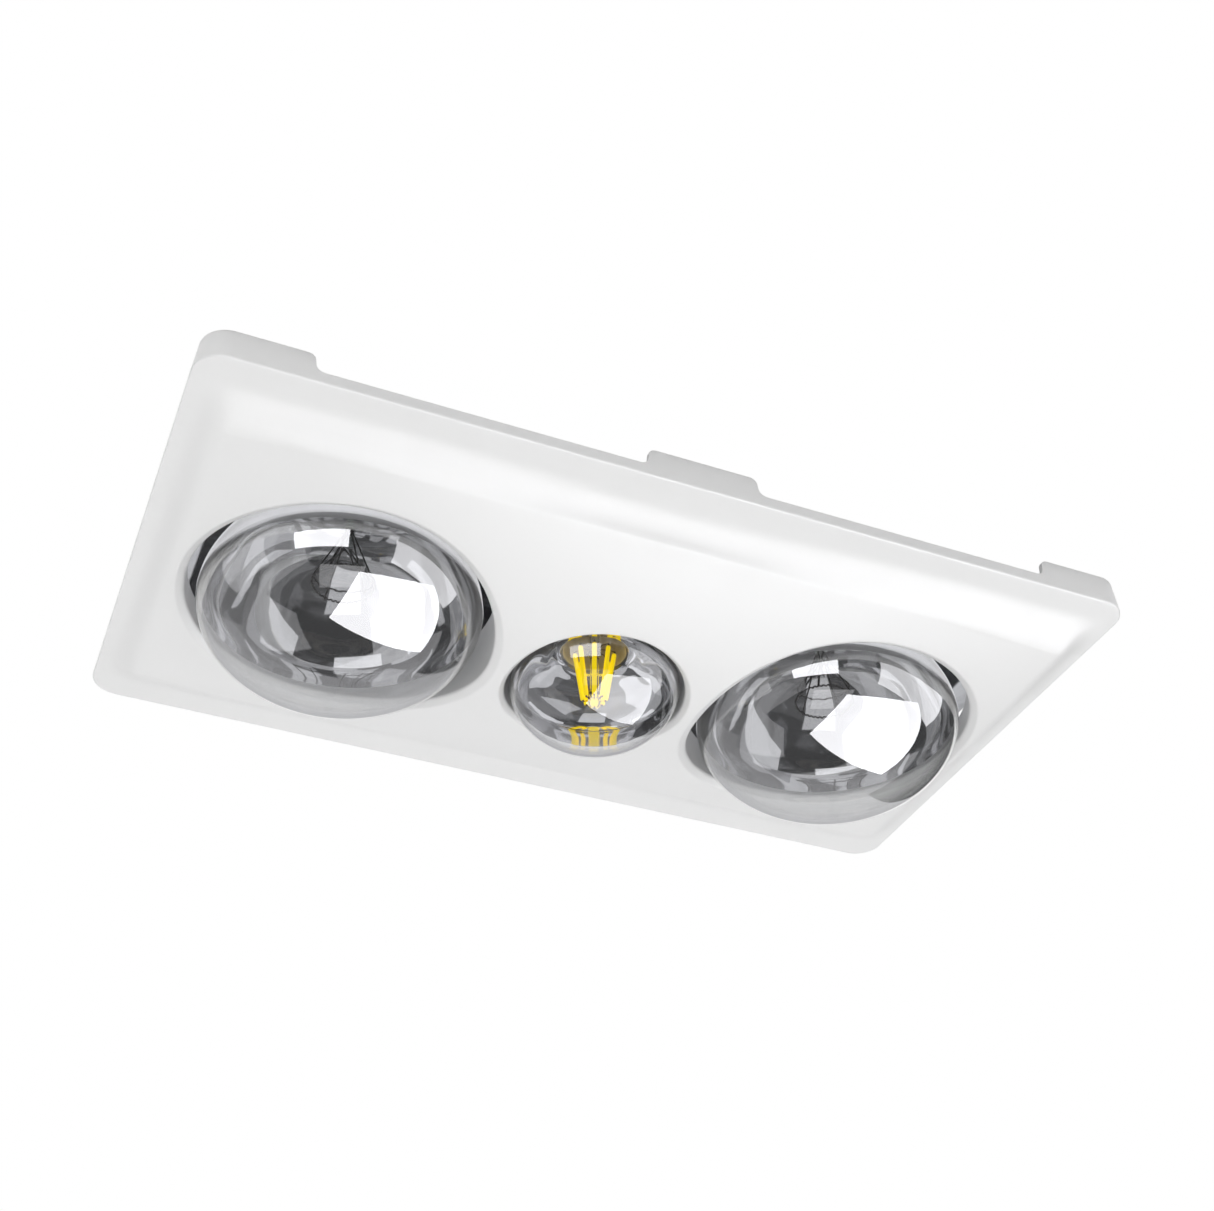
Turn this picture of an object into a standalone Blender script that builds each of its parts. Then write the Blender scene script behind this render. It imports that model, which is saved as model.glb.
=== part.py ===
"""Ceiling exhaust fan with two heat lamps and a light, as it is fitted: fascia down, housing above.

Metres, +Z up. The origin is at the middle of the unit in the plane of the ceiling's underside, +X runs
along the long side, and the fascia hangs below the ceiling at minus Z.
"""

from math import asin, cos, pi, radians, sin

import bmesh
import bpy
from mathutils import Matrix

# Clearances and overruns
FIT_GAP = 0.0003
CUT_OVERRUN = 0.001
WELD_DISTANCE = 0.000001
WELD_REACH = 0.00002

# Fascia outline and skirt
FASCIA_END_MARGIN = 0.01985
FASCIA_SIDE_MARGIN = 0.0509
FASCIA_CORNER_RADIUS = 0.0135
FASCIA_WALL = 0.0024
SKIRT_HEIGHT = 0.016
SKIRT_DRAFT = 0.0015
AIR_SLOT_HEIGHT = 0.0097
MID_TAB_LENGTH = 0.051
CORNER_TAB_LENGTH = 0.046
TAB_TOP_RADIUS = 0.0035
TAB_FOOT_RADIUS = 0.004

# Fascia face: a crowned band between two creases, with a scoop outside each
FACE_EDGE_DROP = 0.0075
FACE_CROWN = 0.0217
CROWN_INSET = 0.0272
CROWN_LENGTH_POWER = 1.73
CROWN_WIDTH_POWER = 1.67
CREASE_INSET = 0.0299
CREASE_DRAW_IN = 0.0066
BRIM_WIDTH = 0.013
SCOOP_HALF_LENGTH = 0.160
SCOOP_POWER = 3.0
END_STRIP = 0.0035
END_ROLL = 0.015

# Openings in the face and their lips
HEAT_LAMP_GAP = 0.0061
CENTRE_LAMP_GAP = 0.0018
OPENING_BRIDGE = 0.00525
HEAT_LIP_WIDTH = 0.0042
CENTRE_LIP_WIDTH = 0.0025
LIP_DEPTH = 0.007
LIP_EMBED = 0.0008
COLLAR_WALL = 0.002
COLLAR_RISE = 0.002

# Fascia posts and the clips that hold them
POST_RADIUS = 0.003
POST_TOP = 0.015
POST_X = 0.056
POST_INSET = 0.0148
CLIP_WIDTH = 0.020
CLIP_SHELF_Z = 0.006
CLIP_UPSTAND = 0.014
CLIP_FERRULE_RADIUS = 0.006
CLIP_FERRULE_HEIGHT = 0.006
CLIP_NOSE = 0.009

# Housing tray
SHEET = 0.0012
TRAY_HEADROOM = 0.0153
TRAY_CORNER_RADIUS = 0.008
FLANGE_WIDTH = 0.0135
FLANGE_CLEARANCE = 0.0118

# Lamps
HEAT_LAMP_RADIUS = 0.0625
HEAT_LAMP_DOME = 0.0358
HEAT_LAMP_RIM_DROP = 0.0171
HEAT_LAMP_NECK_HEIGHT = 0.100
CENTRE_LAMP_RADIUS = 0.040
CENTRE_LAMP_DOME = 0.026
CENTRE_LAMP_RIM_DROP = 0.025
CENTRE_LAMP_NECK_HEIGHT = 0.052
GLASS_WALL = 0.0012
NECK_END_RADIUS = 0.0118
NECK_INSERT = 0.008
STEM_RADIUS = 0.0034
FLARE_DEPTH = 0.009
HEAT_STEM_SHARE = 0.52
HEAT_FILAMENT_SHARE = 0.2
HEAT_FILAMENT_RADIUS = 0.014
HEAT_WIRE_RADIUS = 0.0006
LED_STICK_COUNT = 8
LED_STICK_RADIUS = 0.001
LED_TOP_RING_RADIUS = 0.0093
LED_LOW_RING_RADIUS = 0.0052
LED_RING_WIRE = 0.0005
LED_TOP_SHARE = 0.43
LED_LOW_SHARE = -0.067

HEAT_REFLECTOR_SHARES = ((0.95, 0.14), (0.78, 0.35), (0.45, 0.63), (0.3, 0.92))
CENTRE_REFLECTOR_SHARES = (
    (0.95, 0.1),
    (0.775, 0.235),
    (0.55, 0.385),
    (0.41, 0.47),
    (0.37, 0.76),
    (0.3, 0.94),
)

# Lamp caps and holders
CAP_LENGTH = 0.036
CAP_RADIUS = 0.0129
CAP_WALL = 0.0008
CAP_TIP_RADIUS = 0.0048
SHELL_WALL = 0.0006
HOLDER_WALL = 0.007
HOLDER_HEAD = 0.006
HOLDER_LENGTH = 0.038
HOLDER_COLLAR = 0.003
BRACKET_WIDTH = 0.050
BRACKET_LIP = 0.008
BRACKET_EAR = 0.020

# Fan
FAN_Y = 0.008
SCROLL_HEIGHT = 0.062
SCROLL_WALL = 0.002
SCROLL_START_RADIUS = 0.066
SCROLL_END_RADIUS = 0.100
SCROLL_MOUTH_X = 0.098
TONGUE_ANGLE = radians(-60)
MOUTH_FLANGE = 0.006
MOUTH_FLANGE_THICKNESS = 0.003
INLET_RADIUS = 0.044
INLET_RING_WALL = 0.0018
INLET_RING_FLARE = 0.005
IMPELLER_RADIUS = 0.060
IMPELLER_CLEARANCE = 0.003
BLADE_COUNT = 20
BLADE_DEPTH = 0.011
BLADE_THICKNESS = 0.0012
BLADE_SWEEP = radians(11)
BLADE_EMBED = 0.0006
IMPELLER_PLATE = 0.0016
IMPELLER_RING_WIDTH = 0.005
HUB_RADIUS = 0.009
HUB_LENGTH = 0.022
SHAFT_RADIUS = 0.0025

# Motor
MOTOR_PLATE_RADIUS = 0.0695
MOTOR_PLATE_THICKNESS = 0.0015
MOTOR_HATCH_RADIUS = 0.061
PILLAR_HEIGHT = 0.012
PILLAR_RADIUS = 0.004
CORE_WIDTH = 0.060
CORE_THICKNESS = 0.018
CORE_ROTOR_END = 0.025
CORE_LIMB = 0.014
CORE_SIDE_LIMB = 0.012
CORE_WINDOW = 0.021
ROTOR_RADIUS = 0.0132
ROTOR_AIR_GAP = 0.0005
COIL_HALF_LENGTH = 0.015
COIL_BUILD = 0.009
BRIDGE_WIDTH = 0.014
BRIDGE_HEIGHT = 0.0095
BEARING_RADIUS = 0.0065
BEARING_LENGTH = 0.006
SHAFT_STICK_OUT = 0.004

# Motor plate screws
PLATE_SCREW_RADIUS = 0.002
PLATE_SCREW_HEAD_RADIUS = 0.004
PLATE_SCREW_HEAD = 0.0024

# Duct adaptor and draught flap
DUCT_RADIUS = 0.0485
DUCT_WALL = 0.002
DUCT_Y = -0.048
FLAP_SPACE = 0.030
ADAPTOR_LOFT_LENGTH = 0.030
SPIGOT_LENGTH = 0.024
SPIGOT_BEAD = 0.0012
FLAP_SEAT = 0.0025
FLAP_SIDE_GAP = 0.0008
FLAP_THICKNESS = 0.0012
FLAP_KNUCKLE_RADIUS = 0.0024
FLAP_PIN_RADIUS = 0.0012
FLAP_RIB = 0.003

# Terminal box
TERMINAL_LENGTH = 0.070
TERMINAL_WIDTH = 0.056
TERMINAL_HEIGHT = 0.032
TERMINAL_WALL = 0.002
TERMINAL_GAP = 0.001
TERMINAL_BLOCK_HEIGHT = 0.014
TERMINAL_POLES = 4
TERMINAL_SCREW_RADIUS = 0.0022
GLAND_BODY_RADIUS = 0.008
GLAND_BORE_RADIUS = 0.0045
GLAND_NUT_RADIUS = 0.011
GLAND_NUT_LENGTH = 0.005
GLAND_DOME_LENGTH = 0.012

# Swing clamps
CLAMP_X = 0.150
CLAMP_HUB_RADIUS = 0.0052
CLAMP_WALL_GAP = 0.0008
CLAMP_HUB_HEIGHT = 0.010
CLAMP_BOARD_GAP = 0.0133
CLAMP_ARM_LENGTH = 0.032
CLAMP_ARM_WIDTH = 0.009
CLAMP_ARM_THICKNESS = 0.002
CLAMP_TOE = 0.003
CLAMP_SCREW_RADIUS = 0.002
CLAMP_SCREW_LENGTH = 0.046
CLAMP_HEAD_RADIUS = 0.004
CLAMP_HEAD_HEIGHT = 0.0026
LUG_THICKNESS = 0.002

# Facet counts
ROUND_STEPS = 20
SMALL_ROUND_STEPS = 8
THREAD_STEPS = 16
COLLAR_STEPS = 28
CORNER_STEPS = 3
DOME_STEPS = 4
SPIRAL_STEPS = 22
LOFT_COUNT = 20
LOFT_STEPS = 3
FACE_COLUMN_SHARES = (0.0, 0.15, 0.3, 0.45, 0.6, 0.74, 0.86, 0.915, 0.94, 0.962, 0.984)
SCOOP_ROW_SHARES = (0.12, 0.36, 1.0)
BAND_ROWS = 8

# Worked-out sizes
HEAT_OPENING_RADIUS = HEAT_LAMP_RADIUS + HEAT_LAMP_GAP + HEAT_LIP_WIDTH
CENTRE_OPENING_RADIUS = CENTRE_LAMP_RADIUS + CENTRE_LAMP_GAP + CENTRE_LIP_WIDTH
LAMP_X = HEAT_OPENING_RADIUS + OPENING_BRIDGE + CENTRE_OPENING_RADIUS
HALF_LENGTH = LAMP_X + HEAT_OPENING_RADIUS + FASCIA_END_MARGIN
HALF_WIDTH = HEAT_OPENING_RADIUS + FASCIA_SIDE_MARGIN
CREASE_HALF_WIDTH = HALF_WIDTH - CREASE_INSET
CROWN_HALF_WIDTH = HALF_WIDTH - CROWN_INSET
OUTLINE_Z = -SKIRT_HEIGHT
FLANGE_HALF_LENGTH = HALF_LENGTH - SKIRT_DRAFT - FASCIA_WALL - FLANGE_CLEARANCE
FLANGE_HALF_WIDTH = HALF_WIDTH - SKIRT_DRAFT - FASCIA_WALL - FLANGE_CLEARANCE
TRAY_HALF_LENGTH = FLANGE_HALF_LENGTH - FLANGE_WIDTH
TRAY_HALF_WIDTH = FLANGE_HALF_WIDTH - FLANGE_WIDTH
POST_Y = TRAY_HALF_WIDTH - POST_INSET
HEAT_RIM_Z = OUTLINE_Z - HEAT_LAMP_RIM_DROP
CENTRE_RIM_Z = OUTLINE_Z - CENTRE_LAMP_RIM_DROP
SHELL_INNER = CAP_RADIUS + FIT_GAP
SHELL_OUTER = SHELL_INNER + SHELL_WALL
HOLDER_BORE = SHELL_OUTER + FIT_GAP
HOLDER_RADIUS = HOLDER_BORE + HOLDER_WALL
HEAT_HOLDER_TOP = HEAT_RIM_Z + HEAT_LAMP_NECK_HEIGHT + CAP_LENGTH + FIT_GAP + HOLDER_HEAD
TRAY_HEIGHT = HEAT_HOLDER_TOP + FIT_GAP + SHEET + TRAY_HEADROOM
SCROLL_Z = TRAY_HEIGHT + FIT_GAP
SCROLL_TOP = SCROLL_Z + SCROLL_HEIGHT
TONGUE_Y = SCROLL_START_RADIUS * sin(-TONGUE_ANGLE)
MOUTH_LOW_Y = FAN_Y - SCROLL_END_RADIUS
MOUTH_HIGH_Y = FAN_Y - TONGUE_Y
MOUTH_LOW_Z = SCROLL_Z + SCROLL_WALL
MOUTH_HIGH_Z = SCROLL_TOP - SCROLL_WALL
MOUTH_MID_Y = (MOUTH_LOW_Y + MOUTH_HIGH_Y) / 2
IMPELLER_LOW = MOUTH_LOW_Z + IMPELLER_CLEARANCE
IMPELLER_TOP = MOUTH_HIGH_Z - IMPELLER_CLEARANCE
PLATE_Z = SCROLL_TOP + FIT_GAP
PLATE_TOP = PLATE_Z + MOTOR_PLATE_THICKNESS
CORE_Z = PLATE_TOP + PILLAR_HEIGHT + FIT_GAP
CORE_TOP = CORE_Z + CORE_THICKNESS
ADAPTOR_X = SCROLL_MOUTH_X + FIT_GAP
ADAPTOR_BACK_X = ADAPTOR_X + MOUTH_FLANGE_THICKNESS
DUCT_Z = TRAY_HEIGHT + FIT_GAP + DUCT_RADIUS + SPIGOT_BEAD
FLAP_PIVOT_X = ADAPTOR_BACK_X + FIT_GAP
FLAP_PIVOT_ZS = (
    MOUTH_HIGH_Z - FLAP_KNUCKLE_RADIUS - FIT_GAP * 2,
    (MOUTH_HIGH_Z + MOUTH_LOW_Z) / 2 - FLAP_KNUCKLE_RADIUS,
)
CLAMP_Y = TRAY_HALF_WIDTH + CLAMP_HUB_RADIUS + CLAMP_WALL_GAP
CLAMP_SCREW_Z = -SHEET - FIT_GAP
LUG_Z = CLAMP_BOARD_GAP + CLAMP_HUB_HEIGHT + FIT_GAP

PARTS = bpy.data.collections.new("ceiling_exhaust_fan_with_lamps")
CUTTERS = bpy.data.collections.new("cutters")


def clear_scene():
    for obj in list(bpy.data.objects):
        bpy.data.objects.remove(obj)
    bpy.context.scene.collection.children.link(PARTS)
    bpy.context.scene.collection.children.link(CUTTERS)


def make_material(name, colour, roughness, metallic=0.0, transmission=0.0):
    material = bpy.data.materials.new(name)
    material.use_nodes = True
    shader = material.node_tree.nodes["Principled BSDF"]
    shader.inputs["Base Color"].default_value = (*colour, 1.0)
    shader.inputs["Roughness"].default_value = roughness
    shader.inputs["Metallic"].default_value = metallic
    shader.inputs["Transmission Weight"].default_value = transmission
    material.diffuse_color = (*colour, 1.0)
    return material


def add_object(name, mesh, material, place=(0, 0, 0)):
    """A finished piece when it has a material, and a cutter or joined shape when it has none."""
    obj = bpy.data.objects.new(name, mesh)
    obj.location = place
    if material:
        PARTS.objects.link(obj)
        mesh.materials.append(material)
        mesh.shade_smooth()
        mesh.set_sharp_from_angle(angle=radians(35))
    else:
        CUTTERS.objects.link(obj)
        obj.hide_render = True
        obj.display_type = "WIRE"
    return obj


def mesh_from(name, build):
    """A mesh filled by a function that takes the bmesh."""
    shape = bmesh.new()
    build(shape)
    bmesh.ops.recalc_face_normals(shape, faces=shape.faces)
    mesh = bpy.data.meshes.new(name)
    shape.to_mesh(mesh)
    shape.free()
    return mesh


def box(name, low, high, material=None, bevel=0.0):
    """A box between two corners, its origin at the world's, with rounded edges if bevel is given."""

    def build(shape):
        bmesh.ops.create_cube(shape, size=1.0)
        for vertex in shape.verts:
            vertex.co = [l if c < 0 else h for c, l, h in zip(vertex.co, low, high)]

    obj = add_object(name, mesh_from(name, build), material)
    if bevel:
        rounding = obj.modifiers.new("rounding", "BEVEL")
        rounding.width = bevel
    return obj


def rod(name, radius, start, end, axis="Z", material=None, steps=SMALL_ROUND_STEPS):
    """A round bar from start to end, two points that differ along one axis."""
    middle = [(a + b) / 2 for a, b in zip(start, end)]
    length = sum(abs(b - a) for a, b in zip(start, end))

    def build(shape):
        bmesh.ops.create_cone(
            shape, cap_ends=True, segments=steps, radius1=radius, radius2=radius, depth=length
        )

    obj = add_object(name, mesh_from(name, build), material, middle)
    obj.rotation_euler = {"Z": (0, 0, 0), "X": (0, pi / 2, 0), "Y": (pi / 2, 0, 0)}[axis]
    return obj


def turned(name, profile, place=(0, 0, 0), material=None, steps=ROUND_STEPS, closed=True):
    """A profile of (radius, height) points turned about an upright axis at place."""
    mesh = bpy.data.meshes.new(name)
    count = len(profile)
    edges = [(i, i + 1) for i in range(count - 1)]
    if closed:
        edges.append((count - 1, 0))
    mesh.from_pydata([(r, 0, z) for r, z in profile], edges, [])
    obj = add_object(name, mesh, material, place)
    screw = obj.modifiers.new("turn", "SCREW")
    screw.steps = screw.render_steps = steps
    screw.use_merge_vertices = True
    screw.merge_threshold = 0.00001
    return obj


def outline_solid(name, loops, low, high, material=None, upright=False):
    """Flat outlines, the first one outside and the others holes, thickened from low to high.

    Upright ones are drawn in X and Z and thickened along Y.
    """
    curve = bpy.data.curves.new(name, "CURVE")
    curve.dimensions = "2D"
    curve.fill_mode = "BOTH"
    curve.extrude = (high - low) / 2
    for loop in loops:
        spline = curve.splines.new("POLY")
        spline.points.add(len(loop) - 1)
        for point, (x, y) in zip(spline.points, loop):
            point.co = (x, y, 0, 1)
        spline.use_cyclic_u = True
    drawn = bpy.data.objects.new(name + "_outline", curve)
    CUTTERS.objects.link(drawn)
    middle = (low + high) / 2
    drawn.location = (0, middle, 0) if upright else (0, 0, middle)
    drawn.rotation_euler = (pi / 2, 0, 0) if upright else (0, 0, 0)
    return meshed(name, drawn, material)


def meshed(name, drawn, material):
    """The curve object made a mesh object with its caps welded, and the curve removed."""
    bpy.context.view_layer.update()
    graph = bpy.context.evaluated_depsgraph_get()
    mesh = bpy.data.meshes.new_from_object(drawn.evaluated_get(graph))
    mesh.materials.clear()
    shape = bmesh.new()
    shape.from_mesh(mesh)
    bmesh.ops.remove_doubles(shape, verts=shape.verts, dist=WELD_DISTANCE)
    bmesh.ops.recalc_face_normals(shape, faces=shape.faces)
    shape.to_mesh(mesh)
    shape.free()
    obj = add_object(name, mesh, material)
    obj.matrix_world = drawn.matrix_world
    bpy.data.objects.remove(drawn)
    return obj


def ring_stack(name, rings, material=None):
    """A closed tube-like body through rings of points, the last ring joined to the first."""

    def build(shape):
        rows = [[shape.verts.new(point) for point in ring] for ring in rings]
        for row, after in zip(rows, rows[1:] + rows[:1]):
            for i in range(len(row)):
                j = (i + 1) % len(row)
                shape.faces.new((row[i], row[j], after[j], after[i]))

    return add_object(name, mesh_from(name, build), material)


def capped_stack(name, rings):
    """A solid through rings of points, closed by a face at each end."""

    def build(shape):
        rows = [[shape.verts.new(point) for point in ring] for ring in rings]
        for row, after in zip(rows, rows[1:]):
            for i in range(len(row)):
                j = (i + 1) % len(row)
                shape.faces.new((row[i], row[j], after[j], after[i]))
        for row in (rows[0], rows[-1]):
            ends = shape.verts.new([sum(v.co[k] for v in row) / len(row) for k in range(3)])
            for i in range(len(row)):
                shape.faces.new((row[i], row[(i + 1) % len(row)], ends))

    return add_object(name, mesh_from(name, build), None)


def boolean(obj, other, operation):
    modifier = obj.modifiers.new(other.name, "BOOLEAN")
    modifier.operation = operation
    modifier.solver = "EXACT"
    modifier.object = other


def weld(obj):
    """Closes the hair-thin faces that crossing surfaces can leave."""
    obj.modifiers.new("weld", "WELD").merge_threshold = WELD_REACH


def cut(obj, *cutters):
    for cutter in cutters:
        boolean(obj, cutter, "DIFFERENCE")


def join(obj, *shapes):
    for shape in shapes:
        boolean(obj, shape, "UNION")


def arc(centre, radius, start, end, steps):
    """Points of an arc in a plane, with both ends, in degrees."""
    points = []
    for i in range(steps + 1):
        angle = radians(start + (end - start) * i / steps)
        points.append((centre[0] + radius * cos(angle), centre[1] + radius * sin(angle)))
    return points


def rounded_rectangle(half_x, half_y, radius, steps=CORNER_STEPS):
    points = []
    for side_x, side_y, start in ((1, 1, 0), (-1, 1, 90), (-1, -1, 180), (1, -1, 270)):
        centre = (side_x * (half_x - radius), side_y * (half_y - radius))
        points += arc(centre, radius, start, start + 90, steps)
    return points


def smooth(share):
    """An S-curve from 0 to 1 with level ends."""
    share = min(max(share, 0.0), 1.0)
    return share * share * (3 - 2 * share)


# The fascia

def crease_y(x):
    """Half the width of the crowned band, which is widest at mid length."""
    return CREASE_HALF_WIDTH - CREASE_DRAW_IN * (x / HALF_LENGTH) ** 2


def crown(x, y):
    along = 1 - min(abs(x) / HALF_LENGTH, 1.0) ** CROWN_LENGTH_POWER
    across = 1 - min(abs(y) / CROWN_HALF_WIDTH, 1.0) ** CROWN_WIDTH_POWER
    return FACE_EDGE_DROP + FACE_CROWN * along * across


def face_drop(x, y):
    """How far the outer face lies below its outline at a point."""
    crease = crease_y(x)
    drop = crown(x, min(abs(y), crease))
    if abs(y) > crease:
        reach = min((abs(y) - crease) / (HALF_WIDTH - BRIM_WIDTH - crease), 1.0)
        hollow = 1 - smooth(abs(x) / SCOOP_HALF_LENGTH)
        drop *= hollow * (1 - reach) ** SCOOP_POWER + (1 - hollow) * (1 - smooth(reach))
    return drop * smooth((HALF_LENGTH - END_STRIP - abs(x)) / END_ROLL)


def face_z(x, y):
    return OUTLINE_Z - face_drop(x, y)


def face_columns():
    ends = [share * HALF_LENGTH for share in FACE_COLUMN_SHARES] + [HALF_LENGTH + CUT_OVERRUN]
    return [-x for x in ends[:0:-1]] + ends


def face_rows(x):
    """The Y places down one column: brim, scoop, crease, band, and the same again."""
    crease = crease_y(x)
    brim = HALF_WIDTH - BRIM_WIDTH
    scoop = [crease + share * (brim - crease) for share in SCOOP_ROW_SHARES]
    outer = scoop + [HALF_WIDTH + CUT_OVERRUN]
    band = [crease * (2 * i / BAND_ROWS - 1) for i in range(BAND_ROWS + 1)]
    return [-y for y in outer[::-1]] + band + outer


def fascia_sheet(material):
    """The face as an open sheet on its outer surface, thickened upward."""
    columns = face_columns()
    row_count = len(face_rows(0.0))

    def build(shape):
        bmesh.ops.create_grid(shape, x_segments=len(columns) - 1, y_segments=row_count - 1, size=0.5)
        for vertex in shape.verts:
            x = columns[round((vertex.co.x + 0.5) * (len(columns) - 1))]
            y = face_rows(x)[round((vertex.co.y + 0.5) * (row_count - 1))]
            vertex.co = (x, y, face_z(x, y))

    obj = add_object("fascia", mesh_from("fascia", build), material)
    thick = obj.modifiers.new("wall", "SOLIDIFY")
    thick.thickness = FASCIA_WALL
    thick.offset = -1.0
    thick.use_even_offset = True
    return obj


def skirt():
    """The upright wall round the outline, leaning in by the draft as it rises."""
    inner = (HALF_LENGTH - FASCIA_WALL, HALF_WIDTH - FASCIA_WALL, FASCIA_CORNER_RADIUS - FASCIA_WALL)
    loops = [rounded_rectangle(HALF_LENGTH, HALF_WIDTH, FASCIA_CORNER_RADIUS), rounded_rectangle(*inner)]
    wall = outline_solid("skirt_wall", loops, OUTLINE_Z + FASCIA_WALL / 2, 0)
    middle = wall.location.z
    for vertex in wall.data.vertices:
        lean = SKIRT_DRAFT * (vertex.co.z + middle - OUTLINE_Z) / SKIRT_HEIGHT
        vertex.co.x *= 1 - lean / HALF_LENGTH
        vertex.co.y *= 1 - lean / HALF_WIDTH
    return wall


def slot_outline(low_x, high_x):
    """An air slot seen from the side: rounded feet below, and rounded tab shoulders above."""
    floor = -AIR_SLOT_HEIGHT
    foot, top = TAB_FOOT_RADIUS, TAB_TOP_RADIUS
    left = arc((low_x - top, -top), top, 75, 0, 2)
    left.insert(0, (left[0][0], CUT_OVERRUN))
    left += arc((low_x + foot, floor + foot), foot, 180, 270, 2)
    right = arc((high_x - foot, floor + foot), foot, 270, 360, 2)
    right += arc((high_x + top, -top), top, 180, 105, 2)
    right.append((right[-1][0], CUT_OVERRUN))
    return left + right


def air_slots():
    slots = []
    low, high = MID_TAB_LENGTH / 2, HALF_LENGTH - CORNER_TAB_LENGTH
    deep = SKIRT_DRAFT + FASCIA_WALL * 2
    for side in (-1, 1):
        for end in (-1, 1):
            spans = sorted((end * low, end * high))
            reach = sorted((side * (HALF_WIDTH - deep), side * (HALF_WIDTH + CUT_OVERRUN)))
            name = f"air_slot_{'near' if side < 0 else 'far'}_{'left' if end < 0 else 'right'}"
            slots.append(outline_solid(name, [slot_outline(*spans)], *reach, upright=True))
    half_end = HALF_WIDTH - CORNER_TAB_LENGTH
    for end in (-1, 1):
        reach = sorted((end * (HALF_LENGTH - deep), end * (HALF_LENGTH + CUT_OVERRUN)))
        name = f"air_slot_end_{'left' if end < 0 else 'right'}"
        slot = outline_solid(name, [slot_outline(-half_end, half_end)], *reach, upright=True)
        slot.matrix_world = turn_about_z(-pi / 2) @ slot.matrix_world
        slots.append(slot)
    return slots


def turn_about_z(angle):
    return Matrix.Rotation(angle, 4, "Z")


def opening_rings(x, radius, profile):
    """Rings round one opening, each (radius, height) of the profile measured from the rim there.

    A height given as None is the collar's top, which is level.
    """
    rings = [[] for _ in profile]
    for i in range(COLLAR_STEPS):
        angle = 2 * pi * (i + 0.5) / COLLAR_STEPS
        rim = face_z(x + radius * cos(angle), radius * sin(angle))
        for ring, (r, height) in zip(rings, profile):
            z = OUTLINE_Z + COLLAR_RISE if height is None else rim + height
            ring.append((x + r * cos(angle), r * sin(angle), z))
    return rings


def opening_collar(name, x, radius, lip):
    """A ring that stands on the sheet's inner side round one opening, before it is bored."""
    inner = radius - lip
    profile = (
        (radius + COLLAR_WALL, FASCIA_WALL / 2),
        (inner + COLLAR_WALL, LIP_DEPTH),
        (inner + COLLAR_WALL, None),
        (inner - COLLAR_WALL, None),
        (inner - COLLAR_WALL, FASCIA_WALL / 2),
    )
    return ring_stack(name, opening_rings(x, radius, profile))


def opening_bore(name, x, radius, lip):
    """What is bored out of an opening: a chamfer in from the rim, then straight up."""
    inner = radius - lip
    slope = lip / LIP_DEPTH
    profile = (
        (radius + LIP_DEPTH * slope, -LIP_DEPTH),
        (inner, LIP_DEPTH),
        (inner, LIP_DEPTH * 4),
    )
    return capped_stack(name, opening_rings(x, radius, profile))


def fascia(material):
    obj = fascia_sheet(material)
    outline = rounded_rectangle(HALF_LENGTH, HALF_WIDTH, FASCIA_CORNER_RADIUS)
    low = OUTLINE_Z - FACE_EDGE_DROP - FACE_CROWN - CUT_OVERRUN
    boolean(obj, outline_solid("fascia_trim", [outline], low, 0), "INTERSECT")
    for name, x, radius, lip in openings():
        join(obj, opening_collar(f"{name}_collar", x, radius, lip))
        cut(obj, opening_bore(f"{name}_bore", x, radius, lip))
        weld(obj)
    wall = skirt()
    cut(wall, *air_slots())
    join(obj, wall)
    for index, (x, y) in enumerate(post_places(), 1):
        foot = face_z(x, y) + FASCIA_WALL / 2
        join(obj, rod(f"post_{index}", POST_RADIUS, (x, y, foot), (x, y, POST_TOP), steps=10))
    weld(obj)
    return obj


def openings():
    return (
        ("left_opening", -LAMP_X, HEAT_OPENING_RADIUS, HEAT_LIP_WIDTH),
        ("centre_opening", 0.0, CENTRE_OPENING_RADIUS, CENTRE_LIP_WIDTH),
        ("right_opening", LAMP_X, HEAT_OPENING_RADIUS, HEAT_LIP_WIDTH),
    )


def post_places():
    return [(x, y) for x in (-POST_X, POST_X) for y in (-POST_Y, POST_Y)]


# The housing

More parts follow.
